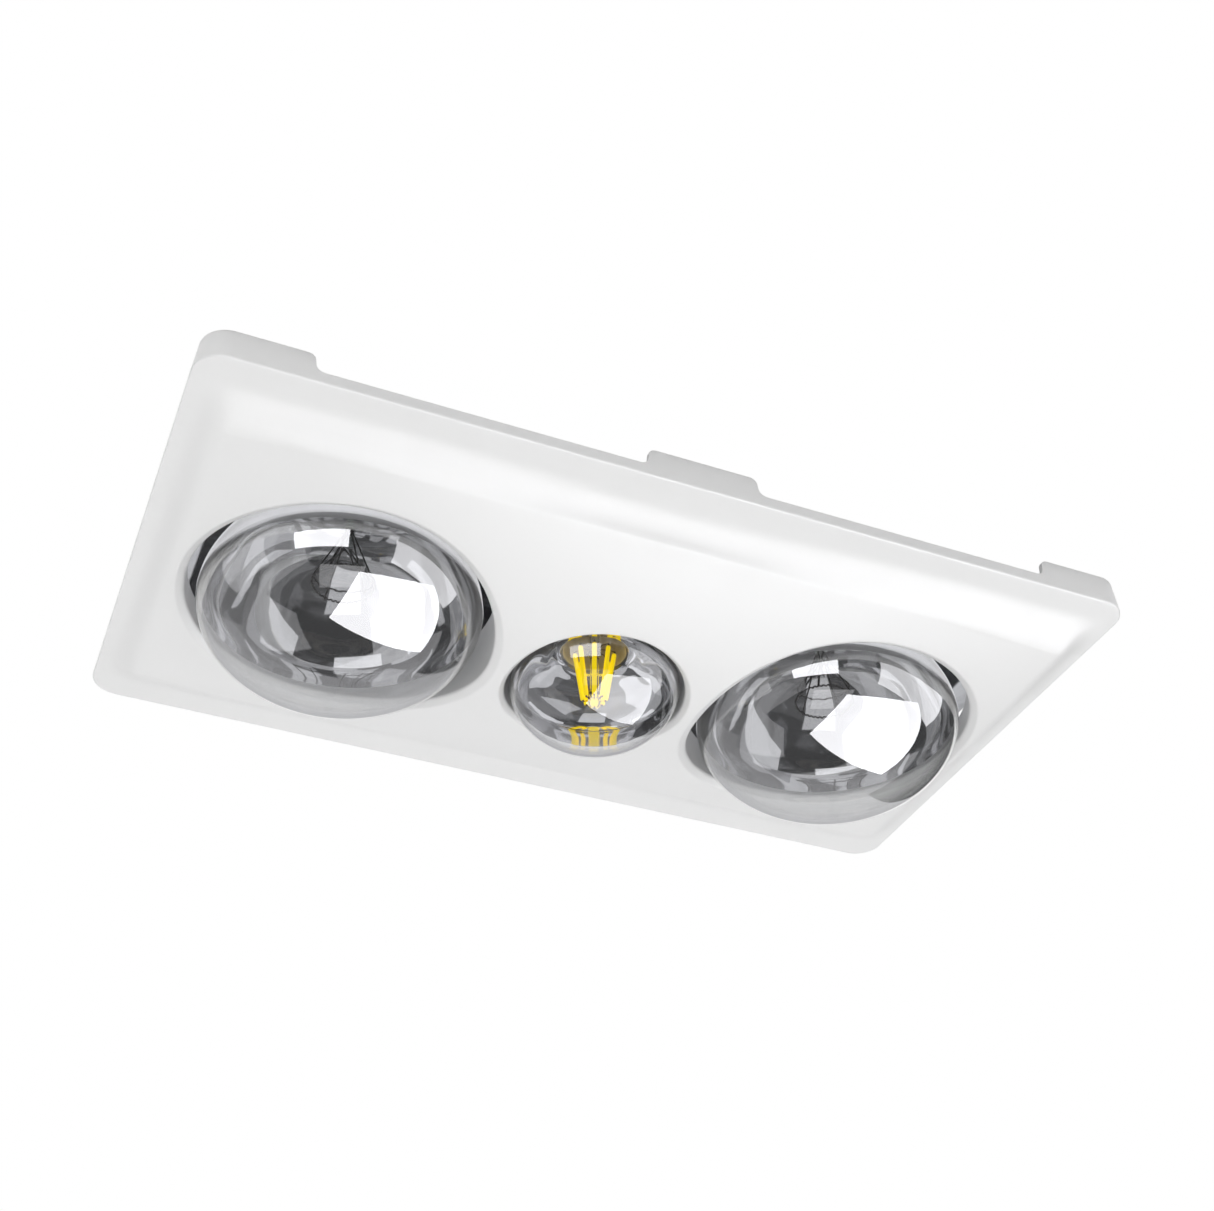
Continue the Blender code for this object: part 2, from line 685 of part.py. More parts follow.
def housing_tray(material):
    """A deep-drawn steel box, open below, with a flange that lies against the ceiling."""
    outer = rounded_rectangle(TRAY_HALF_LENGTH, TRAY_HALF_WIDTH, TRAY_CORNER_RADIUS)
    obj = outline_solid("housing_tray", [outer], -SHEET / 2, TRAY_HEIGHT, material)
    rim_radius = TRAY_CORNER_RADIUS + FLANGE_WIDTH / 2
    rim = rounded_rectangle(FLANGE_HALF_LENGTH, FLANGE_HALF_WIDTH, rim_radius)
    join(obj, outline_solid("tray_flange", [rim], -SHEET, 0))
    inside = (TRAY_HALF_LENGTH - SHEET, TRAY_HALF_WIDTH - SHEET, TRAY_CORNER_RADIUS - SHEET)
    low, high = -SHEET - CUT_OVERRUN, TRAY_HEIGHT - SHEET
    cut(obj, outline_solid("tray_inside", [rounded_rectangle(*inside)], low, high))
    top = TRAY_HEIGHT + CUT_OVERRUN
    below = TRAY_HEIGHT - SHEET - CUT_OVERRUN
    inlet = INLET_RADIUS + INLET_RING_WALL + FIT_GAP
    cut(obj, rod("tray_inlet", inlet, (0, FAN_Y, below), (0, FAN_Y, top), steps=ROUND_STEPS))
    wire_x = terminal_corner()[0] + TERMINAL_LENGTH - TERMINAL_WALL * 4
    cut(obj, rod("tray_wire_hole", GLAND_BORE_RADIUS, (wire_x, 0, below), (wire_x, 0, top)))
    for index, (x, y) in enumerate(clamp_places(), 1):
        hole = CLAMP_SCREW_RADIUS + FIT_GAP
        join(obj, clamp_lug(f"clamp_lug_{index}", x, y))
        cut(obj, rod(f"flange_hole_{index}", hole, (x, y, -SHEET - CUT_OVERRUN), (x, y, CUT_OVERRUN)))
        lug_low = LUG_Z - CUT_OVERRUN
        cut(obj, rod(f"lug_hole_{index}", hole, (x, y, lug_low), (x, y, LUG_Z + LUG_THICKNESS * 2)))
    return obj


def clamp_lug(name, x, y):
    """The folded lug on the tray's side that guides the top of a clamp screw."""
    side = 1 if y > 0 else -1
    reach = sorted((side * (TRAY_HALF_WIDTH - SHEET / 2), y + side * CLAMP_HUB_RADIUS))
    low = (x - CLAMP_HUB_RADIUS, reach[0], LUG_Z)
    return box(name, low, (x + CLAMP_HUB_RADIUS, reach[1], LUG_Z + LUG_THICKNESS))


def clamp_places():
    return [(x, y) for x in (-CLAMP_X, CLAMP_X) for y in (-CLAMP_Y, CLAMP_Y)]


def lamp_bracket(name, x, z, material):
    """A folded strap from one long wall to the other, lipped along its edges, ears against the walls."""
    half, end = BRACKET_WIDTH / 2, TRAY_HALF_WIDTH - SHEET - FIT_GAP
    obj = box(name, (x - half, -end, z), (x + half, end, z + SHEET), material)
    for side in (-1, 1):
        tag = "near" if side < 0 else "far"
        edge = sorted((side * half, side * (half - SHEET)))
        lip_end = end - SHEET - BRACKET_EAR / 4
        low = (x + edge[0], -lip_end, z - BRACKET_LIP)
        join(obj, box(f"{name}_lip_{tag}", low, (x + edge[1], lip_end, z + SHEET / 2)))
        wall = sorted((side * end, side * (end - SHEET)))
        low = (x - half, wall[0], z - BRACKET_EAR)
        join(obj, box(f"{name}_ear_{tag}", low, (x + half, wall[1], z + SHEET / 2)))
    return obj


def fascia_clip(name, x, y, material):
    """A shelf on the tray wall with a ferrule that grips one of the fascia's posts."""
    side = 1 if y > 0 else -1
    wall = TRAY_HALF_WIDTH - SHEET - FIT_GAP
    half = CLIP_WIDTH / 2
    reach = sorted((side * wall, y - side * CLIP_NOSE))
    low = (x - half, reach[0], CLIP_SHELF_Z)
    obj = box(name, low, (x + half, reach[1], CLIP_SHELF_Z + SHEET), material)
    back = sorted((side * wall, side * (wall - SHEET)))
    low = (x - half, back[0], CLIP_SHELF_Z + SHEET / 2)
    join(obj, box(f"{name}_back", low, (x + half, back[1], CLIP_SHELF_Z + CLIP_UPSTAND)))
    top = CLIP_SHELF_Z + SHEET + CLIP_FERRULE_HEIGHT
    join(obj, rod(f"{name}_ferrule", CLIP_FERRULE_RADIUS, (x, y, CLIP_SHELF_Z + SHEET / 2), (x, y, top)))
    low = (x, y, CLIP_SHELF_Z - CUT_OVERRUN)
    cut(obj, rod(f"{name}_bore", POST_RADIUS + FIT_GAP, low, (x, y, top + CUT_OVERRUN)))
    return obj


# The lamps

def envelope_profile(radius, dome, neck_height, bowl_shares, wall):
    """Outer or inner side of a lamp's glass, from the pole of the dome up to the neck's end."""
    points = [(0, -dome + wall)]
    for i in range(1, DOME_STEPS + 1):
        angle = pi / 2 * i / DOME_STEPS
        points.append(((radius - wall) * sin(angle), -(dome - wall) * cos(angle)))
    for radius_share, height_share in bowl_shares:
        points.append((max(radius * radius_share, NECK_END_RADIUS) - wall, neck_height * height_share))
    shoulder = neck_height - FIT_GAP * 2
    points.append((NECK_END_RADIUS - wall, shoulder))
    points.append((NECK_END_RADIUS - wall, neck_height + NECK_INSERT))
    return points


def lamp_glass(name, place, sizes, material, steps=ROUND_STEPS):
    inner = envelope_profile(*sizes, GLASS_WALL)
    outer = envelope_profile(*sizes, 0)
    return turned(name, inner + outer[::-1], place, material, steps, closed=False)


def lamp_cap(name, place, neck_height, material):
    """The screw cap: a metal cup over the neck's end, with its contact on top."""
    top = neck_height + CAP_LENGTH
    shoulder = top - CAP_TIP_RADIUS
    inner = CAP_RADIUS - CAP_WALL
    profile = [
        (0, top),
        (CAP_TIP_RADIUS, top),
        (CAP_TIP_RADIUS, top - CAP_WALL * 2),
        (CAP_RADIUS, shoulder - CAP_WALL * 2),
        (CAP_RADIUS, neck_height),
        (inner, neck_height),
        (inner, shoulder - CAP_WALL * 4),
        (0, shoulder - CAP_WALL * 4),
    ]
    return turned(name, profile, place, material, steps=THREAD_STEPS, closed=False)


def lamp_stem(name, place, neck_height, low, collars, material):
    """The glass mount: a flare sealed in the neck and a rod down to the wires, with wire collars."""
    flare = NECK_END_RADIUS - GLASS_WALL - FIT_GAP
    top = neck_height + NECK_INSERT - FIT_GAP
    profile = [(0, top), (flare, top), (flare, top - GLASS_WALL), (STEM_RADIUS, top - FLARE_DEPTH)]
    for height, radius in collars:
        profile += [(STEM_RADIUS, height + GLASS_WALL), (radius, height), (STEM_RADIUS, height - GLASS_WALL)]
    profile += [(STEM_RADIUS, low), (0, low)]
    return turned(name, profile, place, material, steps=SMALL_ROUND_STEPS, closed=False)


def heat_filament(name, place, stem_low, material):
    """The lead wires and the open ring of the heating filament, as one bent wire."""
    ring_z = HEAT_LAMP_NECK_HEIGHT * HEAT_FILAMENT_SHARE
    start = stem_low - FIT_GAP - HEAT_WIRE_RADIUS
    spread = STEM_RADIUS / 2
    gap = 40
    points = [(-spread, 0, start)]
    ring = arc((0, 0), HEAT_FILAMENT_RADIUS, -90 - gap, -90 - 360 + gap, 14)
    points += [(ring[0][0] / 2, ring[0][1] / 2, (start + ring_z) / 2)]
    points += [(x, y, ring_z) for x, y in ring]
    points += [(ring[-1][0] / 2, ring[-1][1] / 2, (start + ring_z) / 2), (spread, 0, start)]
    curve = bpy.data.curves.new(name, "CURVE")
    curve.dimensions = "3D"
    curve.bevel_depth = HEAT_WIRE_RADIUS
    curve.bevel_resolution = 1
    curve.use_fill_caps = True
    spline = curve.splines.new("POLY")
    spline.points.add(len(points) - 1)
    for point, co in zip(spline.points, points):
        point.co = (*co, 1)
    drawn = bpy.data.objects.new(name + "_wire", curve)
    drawn.location = place
    CUTTERS.objects.link(drawn)
    return meshed(name, drawn, material)


def heat_lamp(side, x, looks):
    place = (x, 0, HEAT_RIM_Z)
    neck = HEAT_LAMP_NECK_HEIGHT
    low = neck * HEAT_STEM_SHARE
    sizes = (HEAT_LAMP_RADIUS, HEAT_LAMP_DOME, neck, HEAT_REFLECTOR_SHARES)
    lamp_glass(f"heat_lamp_glass_{side}", place, sizes, looks["glass"])
    lamp_cap(f"heat_lamp_cap_{side}", place, neck, looks["cap"])
    lamp_stem(f"heat_lamp_stem_{side}", place, neck, low, (), looks["stem"])
    heat_filament(f"heat_lamp_filament_{side}", place, low, looks["wire"])


def led_sticks(name, place, high, low, material):
    """The LED filament sticks, standing in a ring and joined by a wire ring at each end."""
    bottom = torus(name, LED_LOW_RING_RADIUS, LED_RING_WIRE, (*place[:2], place[2] + low), material)
    top = torus(name + "_top_ring", LED_TOP_RING_RADIUS, LED_RING_WIRE, (*place[:2], place[2] + high))

    def build(shape):
        length = high - low
        for i in range(LED_STICK_COUNT):
            angle = 2 * pi * (i + 0.5) / LED_STICK_COUNT
            made = bmesh.ops.create_cone(
                shape,
                cap_ends=True,
                segments=6,
                radius1=LED_STICK_RADIUS,
                radius2=LED_STICK_RADIUS,
                depth=length + LED_STICK_RADIUS,
            )
            for vertex in made["verts"]:
                share = 0.5 - vertex.co.z / length
                ring = LED_TOP_RING_RADIUS + (LED_LOW_RING_RADIUS - LED_TOP_RING_RADIUS) * share
                x, y = vertex.co.x + ring, vertex.co.y
                vertex.co.x = x * cos(angle) - y * sin(angle)
                vertex.co.y = x * sin(angle) + y * cos(angle)

    middle = (place[0], place[1], place[2] + (high + low) / 2)
    sticks = add_object(name + "_sticks", mesh_from(name + "_sticks", build), None, middle)
    join(bottom, sticks, top)
    return bottom


def torus(name, major, minor, place, material=None):
    bpy.ops.mesh.primitive_torus_add(
        major_radius=major, minor_radius=minor, major_segments=10, minor_segments=4
    )
    made = bpy.context.object
    mesh = made.data
    bpy.data.objects.remove(made)
    return add_object(name, mesh, material, place)


def centre_lamp(looks):
    place = (0, 0, CENTRE_RIM_Z)
    neck = CENTRE_LAMP_NECK_HEIGHT
    high, low = neck * LED_TOP_SHARE, neck * LED_LOW_SHARE
    sizes = (CENTRE_LAMP_RADIUS, CENTRE_LAMP_DOME, neck, CENTRE_REFLECTOR_SHARES)
    lamp_glass("centre_lamp_glass", place, sizes, looks["glass"], THREAD_STEPS)
    lamp_cap("centre_lamp_cap", place, neck, looks["cap"])
    gap = LED_RING_WIRE + FIT_GAP
    collars = ((high, LED_TOP_RING_RADIUS - gap), (low, LED_LOW_RING_RADIUS - gap))
    lamp_stem("centre_lamp_stem", place, neck, low - GLASS_WALL * 2, collars, looks["stem"])
    led_sticks("centre_lamp_led_filaments", place, high, low, looks["led"])


def lamp_holder(name, x, rim_z, neck_height, looks):
    """The ceramic holder, its threaded shell inside, hanging from its bracket."""
    ceiling = rim_z + neck_height + CAP_LENGTH + FIT_GAP
    top = ceiling + HOLDER_HEAD
    low = top - HOLDER_LENGTH
    collar = HOLDER_RADIUS + HOLDER_COLLAR
    profile = [
        (0, top),
        (HOLDER_RADIUS, top),
        (HOLDER_RADIUS, low + HOLDER_COLLAR * 2),
        (collar, low + HOLDER_COLLAR * 2),
        (collar, low),
        (HOLDER_BORE, low),
        (HOLDER_BORE, ceiling),
        (0, ceiling),
    ]
    turned(f"{name}_holder", profile, (x, 0, 0), looks["ceramic"], THREAD_STEPS, closed=False)
    shell_top = ceiling - FIT_GAP
    shell = [
        (SHELL_OUTER, shell_top),
        (SHELL_OUTER, low),
        (SHELL_INNER, low),
        (SHELL_INNER, shell_top),
    ]
    turned(f"{name}_holder_shell", shell, (x, 0, 0), looks["brass"], steps=THREAD_STEPS)
    lamp_bracket(f"{name}_bracket", x, top + FIT_GAP, looks["zinc"])


# The fan

def scroll_outline(grow, mouth_x):
    """The spiral and its mouth seen from above, every wall moved out by grow."""
    inner_y = TONGUE_Y - grow
    start = -asin(inner_y / (SCROLL_START_RADIUS + grow))
    end = radians(270)
    points = []
    for i in range(SPIRAL_STEPS + 1):
        angle = start + (end - start) * i / SPIRAL_STEPS
        share = (angle - TONGUE_ANGLE) / (end - TONGUE_ANGLE)
        radius = SCROLL_START_RADIUS + (SCROLL_END_RADIUS - SCROLL_START_RADIUS) * share + grow
        points.append((radius * cos(angle), FAN_Y + radius * sin(angle)))
    points.append((mouth_x, FAN_Y - SCROLL_END_RADIUS - grow))
    points.append((mouth_x, FAN_Y - inner_y))
    return points


def fan_scroll(material):
    outer = scroll_outline(SCROLL_WALL, SCROLL_MOUTH_X)
    obj = outline_solid("fan_scroll", [outer], SCROLL_Z, SCROLL_TOP, material)
    low = (SCROLL_MOUTH_X - MOUTH_FLANGE_THICKNESS, MOUTH_LOW_Y - MOUTH_FLANGE, SCROLL_Z)
    high = (SCROLL_MOUTH_X, MOUTH_HIGH_Y + MOUTH_FLANGE, SCROLL_TOP + MOUTH_FLANGE - SCROLL_WALL)
    join(obj, box("scroll_mouth_flange", low, high))
    inner = scroll_outline(0.0, SCROLL_MOUTH_X + CUT_OVERRUN)
    cut(obj, outline_solid("scroll_inside", [inner], MOUTH_LOW_Z, MOUTH_HIGH_Z))
    inlet = INLET_RADIUS + INLET_RING_WALL + FIT_GAP
    below, above = SCROLL_Z - CUT_OVERRUN, MOUTH_LOW_Z + CUT_OVERRUN
    cut(obj, rod("scroll_inlet", inlet, (0, FAN_Y, below), (0, FAN_Y, above), steps=ROUND_STEPS))
    below, above = MOUTH_HIGH_Z - CUT_OVERRUN, SCROLL_TOP + CUT_OVERRUN
    cut(obj, rod("scroll_hatch", MOTOR_HATCH_RADIUS, (0, FAN_Y, below), (0, FAN_Y, above), steps=ROUND_STEPS))
    for index, (x, y) in enumerate(plate_screw_places(), 1):
        hole = PLATE_SCREW_RADIUS + FIT_GAP
        cut(obj, rod(f"scroll_screw_hole_{index}", hole, (x, y, below), (x, y, above)))
    weld(obj)
    return obj


def inlet_ring(material):
    """The flared ring that leads the air from the tray into the impeller's eye."""
    low = TRAY_HEIGHT - SHEET - INLET_RING_FLARE - FIT_GAP
    high = IMPELLER_LOW - FIT_GAP * 2
    inner, wall = INLET_RADIUS, INLET_RING_WALL
    flared = inner + INLET_RING_FLARE + wall
    profile = [
        (inner + wall, high),
        (inner + wall, low + INLET_RING_FLARE + FIT_GAP / 2),
        (flared + wall, low + INLET_RING_FLARE - wall / 2),
        (flared + wall, low + INLET_RING_FLARE - wall),
        (flared - wall, low),
        (flared - wall * 2, low),
        (inner, low + INLET_RING_FLARE - wall),
        (inner, high),
    ]
    return turned("inlet_ring", profile, (0, FAN_Y, 0), material)


def impeller_blades():
    """Forward-curved blades standing in a ring, each an arc seen from above."""

    def build(shape):
        low = IMPELLER_LOW + IMPELLER_PLATE - BLADE_EMBED
        high = IMPELLER_TOP - IMPELLER_PLATE + BLADE_EMBED
        steps = 3
        inner = IMPELLER_RADIUS - BLADE_EMBED - BLADE_DEPTH
        for blade in range(BLADE_COUNT):
            base = 2 * pi * blade / BLADE_COUNT
            sides = []
            for offset in (-1, 1):
                row = []
                for i in range(steps + 1):
                    share = i / steps
                    radius = inner + BLADE_DEPTH * share
                    turn = base + BLADE_SWEEP * share * share
                    turn += offset * BLADE_THICKNESS / 2 / radius
                    row.append((radius * cos(turn), FAN_Y + radius * sin(turn)))
                sides.append(row)
            loop = sides[0] + sides[1][::-1]
            bottom = shape.faces.new([shape.verts.new((x, y, low)) for x, y in loop])
            top = bmesh.ops.extrude_face_region(shape, geom=[bottom])["geom"]
            for vertex in (item for item in top if isinstance(item, bmesh.types.BMVert)):
                vertex.co.z = high

    return add_object("impeller_blades", mesh_from("impeller_blades", build), None)


def impeller(material):
    top, low = IMPELLER_TOP, IMPELLER_LOW
    plate_low = top - IMPELLER_PLATE
    bore = SHAFT_RADIUS + FIT_GAP
    profile = [
        (IMPELLER_RADIUS, top),
        (IMPELLER_RADIUS, plate_low),
        (HUB_RADIUS, plate_low),
        (HUB_RADIUS, top - HUB_LENGTH),
        (bore, top - HUB_LENGTH),
        (bore, top),
    ]
    obj = turned("impeller", profile, (0, FAN_Y, 0), material, steps=BLADE_COUNT)
    inner = IMPELLER_RADIUS - IMPELLER_RING_WIDTH
    rim = [
        (IMPELLER_RADIUS, low + IMPELLER_PLATE),
        (IMPELLER_RADIUS, low),
        (inner, low),
        (inner, low + IMPELLER_PLATE),
    ]
    ring = turned("impeller_inlet_rim", rim, (0, FAN_Y, 0), steps=BLADE_COUNT)
    join(obj, impeller_blades(), ring)
    return obj


# The motor

def motor_plate(material):
    """The plate that closes the scroll and carries the motor on four pillars."""
    outline = [
        (MOTOR_PLATE_RADIUS, PLATE_TOP),
        (MOTOR_PLATE_RADIUS, PLATE_Z),
        (BEARING_RADIUS + FIT_GAP, PLATE_Z),
        (BEARING_RADIUS + FIT_GAP, PLATE_TOP),
    ]
    obj = turned("motor_plate", outline, (0, FAN_Y, 0), material)
    for index, (x, y) in enumerate(pillar_places(), 1):
        low = PLATE_TOP - MOTOR_PLATE_THICKNESS / 2
        join(obj, rod(f"motor_pillar_{index}", PILLAR_RADIUS, (x, y, low), (x, y, CORE_Z - FIT_GAP)))
    for index, (x, y) in enumerate(plate_screw_places(), 1):
        hole = PLATE_SCREW_RADIUS + FIT_GAP
        low, high = PLATE_Z - CUT_OVERRUN, PLATE_TOP + CUT_OVERRUN
        cut(obj, rod(f"plate_screw_hole_{index}", hole, (x, y, low), (x, y, high)))
    return obj


def pillar_places():
    inset = PILLAR_RADIUS * 1.25
    x = CORE_WIDTH / 2 - inset
    low, high = FAN_Y - CORE_ROTOR_END + inset, FAN_Y + core_far_y() - inset
    return [(side * x, y) for side in (-1, 1) for y in (low, high)]


def core_far_y():
    """How far the coil limb's outer edge lies from the rotor's axis."""
    return ROTOR_RADIUS + CORE_SIDE_LIMB / 4 + CORE_WINDOW + CORE_LIMB


def plate_screw_places():
    radius = (MOTOR_PLATE_RADIUS + MOTOR_HATCH_RADIUS) / 2
    angles = [radians(20 + 90 * i) for i in range(4)]
    return [(radius * cos(a), FAN_Y + radius * sin(a)) for a in angles]


def plate_screw(name, x, y, material):
    top = PLATE_TOP + FIT_GAP + PLATE_SCREW_HEAD
    profile = [
        (0, top),
        (PLATE_SCREW_HEAD_RADIUS * 0.7, top),
        (PLATE_SCREW_HEAD_RADIUS, top - PLATE_SCREW_HEAD / 2),
        (PLATE_SCREW_HEAD_RADIUS, PLATE_TOP + FIT_GAP),
        (PLATE_SCREW_RADIUS, PLATE_TOP + FIT_GAP),
        (PLATE_SCREW_RADIUS, MOUTH_HIGH_Z),
        (0, MOUTH_HIGH_Z),
    ]
    return turned(name, profile, (x, y, 0), material, steps=SMALL_ROUND_STEPS, closed=False)


def motor_core(material):
    """The laminated frame: a bore for the rotor at one end, the coil's limb at the other."""
    half = CORE_WIDTH / 2
    far = FAN_Y + core_far_y()
    low = (-half, FAN_Y - CORE_ROTOR_END, CORE_Z)
    obj = box("motor_core", low, (half, far, CORE_TOP), material, bevel=0.001)
    window_half = half - CORE_SIDE_LIMB
    window_high = far - CORE_LIMB
    low = (-window_half, window_high - CORE_WINDOW, CORE_Z - CUT_OVERRUN)
    cut(obj, box("core_window", low, (window_half, window_high, CORE_TOP + CUT_OVERRUN)))
    bore = ROTOR_RADIUS + ROTOR_AIR_GAP
    low, high = (0, FAN_Y, CORE_Z - CUT_OVERRUN), (0, FAN_Y, CORE_TOP + CUT_OVERRUN)
    cut(obj, rod("core_bore", bore, low, high, steps=ROUND_STEPS))
    return obj


def motor_coil(material):
    """The winding round the core's outer limb."""
    far = FAN_Y + core_far_y()
    near = far - CORE_LIMB
    build = COIL_BUILD
    low = (-COIL_HALF_LENGTH, near - build, CORE_Z - build)
    high = (COIL_HALF_LENGTH, far + build, CORE_TOP + build)
    obj = box("motor_coil", low, high, material, bevel=COIL_BUILD / 3)
    reach = COIL_HALF_LENGTH + CUT_OVERRUN
    low = (-reach, near - FIT_GAP, CORE_Z - FIT_GAP)
    cut(obj, box("coil_limb_passage", low, (reach, far + FIT_GAP, CORE_TOP + FIT_GAP)))
    return obj


def bearing_bridge(name, foot_z, direction, material):
    """A bent strap over the rotor that holds one bearing; direction is +1 above the core, -1 below."""
    half, wide = ROTOR_RADIUS + BRIDGE_WIDTH / 2, BRIDGE_WIDTH / 2
    start = foot_z + direction * FIT_GAP
    crest = start + direction * BRIDGE_HEIGHT
    web = sorted((crest, crest - direction * SHEET))
    obj = box(name, (-half, FAN_Y - wide, web[0]), (half, FAN_Y + wide, web[1]), material)
    for side in (-1, 1):
        leg = sorted((side * half, side * (half - SHEET)))
        span = sorted((start, crest - direction * SHEET / 2))
        tag = "left" if side < 0 else "right"
        low, high = (leg[0], FAN_Y - wide, span[0]), (leg[1], FAN_Y + wide, span[1])
        join(obj, box(f"{name}_leg_{tag}", low, high))
        foot = sorted((side * (half - SHEET / 2), side * (half + BRIDGE_WIDTH / 4)))
        floor = sorted((start, start + direction * SHEET))
        low, high = (foot[0], FAN_Y - wide, floor[0]), (foot[1], FAN_Y + wide, floor[1])
        join(obj, box(f"{name}_foot_{tag}", low, high))
    boss = sorted((crest - direction * SHEET / 2, crest - direction * BEARING_LENGTH))
    join(obj, rod(f"{name}_boss", BEARING_RADIUS, (0, FAN_Y, boss[0]), (0, FAN_Y, boss[1])))
    low, high = min(boss[0], web[0]) - CUT_OVERRUN, max(boss[1], web[1]) + CUT_OVERRUN
    cut(obj, rod(f"{name}_bore", SHAFT_RADIUS + FIT_GAP, (0, FAN_Y, low), (0, FAN_Y, high)))
    return obj


def rotor_and_shaft(looks):
    bore = SHAFT_RADIUS + FIT_GAP
    rotor = [
        (ROTOR_RADIUS, CORE_TOP),
        (ROTOR_RADIUS, CORE_Z),
        (bore, CORE_Z),
        (bore, CORE_TOP),
    ]
    turned("motor_rotor", rotor, (0, FAN_Y, 0), looks["rotor"])
    low = (0, FAN_Y, IMPELLER_TOP - HUB_LENGTH)
    high = (0, FAN_Y, CORE_TOP + BRIDGE_HEIGHT + SHAFT_STICK_OUT)
    rod("motor_shaft", SHAFT_RADIUS, low, high, material=looks["steel"])


# The duct adaptor and its flaps

def section(x, share, grow):
    """One ring of the adaptor: the mouth's rectangle at share 0, the duct's circle at share 1."""
    half_y = (MOUTH_HIGH_Y - MOUTH_LOW_Y) / 2 + grow
    half_z = (MOUTH_HIGH_Z - MOUTH_LOW_Z) / 2 + grow
    middle_z = (MOUTH_HIGH_Z + MOUTH_LOW_Z) / 2
    blend = smooth(share)
    radius = DUCT_RADIUS - DUCT_WALL + grow
    ring = []
    for i in range(LOFT_COUNT):
        angle = 2 * pi * (i + 0.5) / LOFT_COUNT
        reach = max(abs(cos(angle)), abs(sin(angle)))
        y = half_y * cos(angle) / reach * (1 - blend) + radius * cos(angle) * blend
        z = half_z * sin(angle) / reach * (1 - blend) + radius * sin(angle) * blend
        centre_y = MOUTH_MID_Y + (DUCT_Y - MOUTH_MID_Y) * blend
        ring.append((x, centre_y + y, middle_z + (DUCT_Z - middle_z) * blend + z))
    return ring


def duct_adaptor(material):
    """A moulding that leads from the scroll's square mouth to a round duct with a beaded spigot."""
    start = ADAPTOR_BACK_X - MOUTH_FLANGE_THICKNESS / 2
    loft = start + FLAP_SPACE
    spigot = loft + ADAPTOR_LOFT_LENGTH
    places = [(start, 0.0)]
    for i in range(LOFT_STEPS + 1):
        places.append((loft + ADAPTOR_LOFT_LENGTH * i / LOFT_STEPS, i / LOFT_STEPS))
    end = spigot + SPIGOT_LENGTH
    outer = [section(x, share, DUCT_WALL) for x, share in places]
    for share, bead in ((0.6, 0.0), (0.7, SPIGOT_BEAD), (0.8, 0.0), (1.0, 0.0)):
        outer.append(section(spigot + SPIGOT_LENGTH * share, 1.0, DUCT_WALL + bead))
    inner = [section(x, share, 0.0) for x, share in places + [(end, 1.0)]]
    obj = ring_stack("duct_adaptor", outer + inner[::-1], material)
    low = (ADAPTOR_X, MOUTH_LOW_Y - MOUTH_FLANGE, SCROLL_Z)
    high = (ADAPTOR_BACK_X, MOUTH_HIGH_Y + MOUTH_FLANGE, SCROLL_TOP + MOUTH_FLANGE - SCROLL_WALL)
    plate = box("adaptor_plate", low, high)
    low = (ADAPTOR_X - CUT_OVERRUN, MOUTH_LOW_Y + FLAP_SEAT, MOUTH_LOW_Z + FLAP_SEAT)
    high = (ADAPTOR_BACK_X + CUT_OVERRUN, MOUTH_HIGH_Y - FLAP_SEAT, MOUTH_HIGH_Z + FIT_GAP)
    cut(plate, box("adaptor_throat", low, high))
    join(obj, plate)
    for index, z in enumerate(FLAP_PIVOT_ZS, 1):
        ends = flap_pin_ends(z, DUCT_WALL + CUT_OVERRUN)
        cut(obj, rod(f"flap_pin_hole_{index}", FLAP_PIN_RADIUS + FIT_GAP, *ends, axis="Y"))
    return obj


def flap_pin_ends(z, reach):
    return (FLAP_PIVOT_X, MOUTH_LOW_Y - reach, z), (FLAP_PIVOT_X, MOUTH_HIGH_Y + reach, z)


def draught_flap(tag, pivot_z, low_z, looks):
    """A light leaf that hangs against the mouth from a knuckle on its pin."""
    near, far = MOUTH_LOW_Y + FLAP_SIDE_GAP, MOUTH_HIGH_Y - FLAP_SIDE_GAP
    bottom = low_z + FLAP_SIDE_GAP - pivot_z
    low = (0, near, bottom)
    high = (FLAP_THICKNESS, far, -FLAP_PIN_RADIUS - FIT_GAP * 2)
    obj = box(f"draught_flap_{tag}", low, high, looks["flap"])
    obj.location = (FLAP_PIVOT_X, 0, pivot_z)
    ends = flap_pin_ends(pivot_z, -FLAP_SEAT - FIT_GAP)
    join(obj, rod(f"flap_knuckle_{tag}", FLAP_KNUCKLE_RADIUS, *ends, axis="Y"))
    middle = pivot_z + bottom / 2
    low = (FLAP_PIVOT_X + FLAP_THICKNESS / 2, near + FLAP_RIB, middle)
    high = (FLAP_PIVOT_X + FLAP_THICKNESS + FLAP_RIB, far - FLAP_RIB, middle + FLAP_THICKNESS)
    join(obj, box(f"flap_rib_{tag}", low, high))
    ends = flap_pin_ends(pivot_z, CUT_OVERRUN)
    cut(obj, rod(f"flap_bore_{tag}", FLAP_PIN_RADIUS + FIT_GAP, *ends, axis="Y"))
    ends = flap_pin_ends(pivot_z, DUCT_WALL)
    rod(f"flap_pin_{tag}", FLAP_PIN_RADIUS, *ends, axis="Y", material=looks["steel"])
    return obj


# The wiring side

def terminal_corner():
    """The box's outer lower corner: its inner end stands clear of the widest part of the scroll."""
    return -SCROLL_END_RADIUS - TERMINAL_GAP - TERMINAL_LENGTH, SCROLL_Z


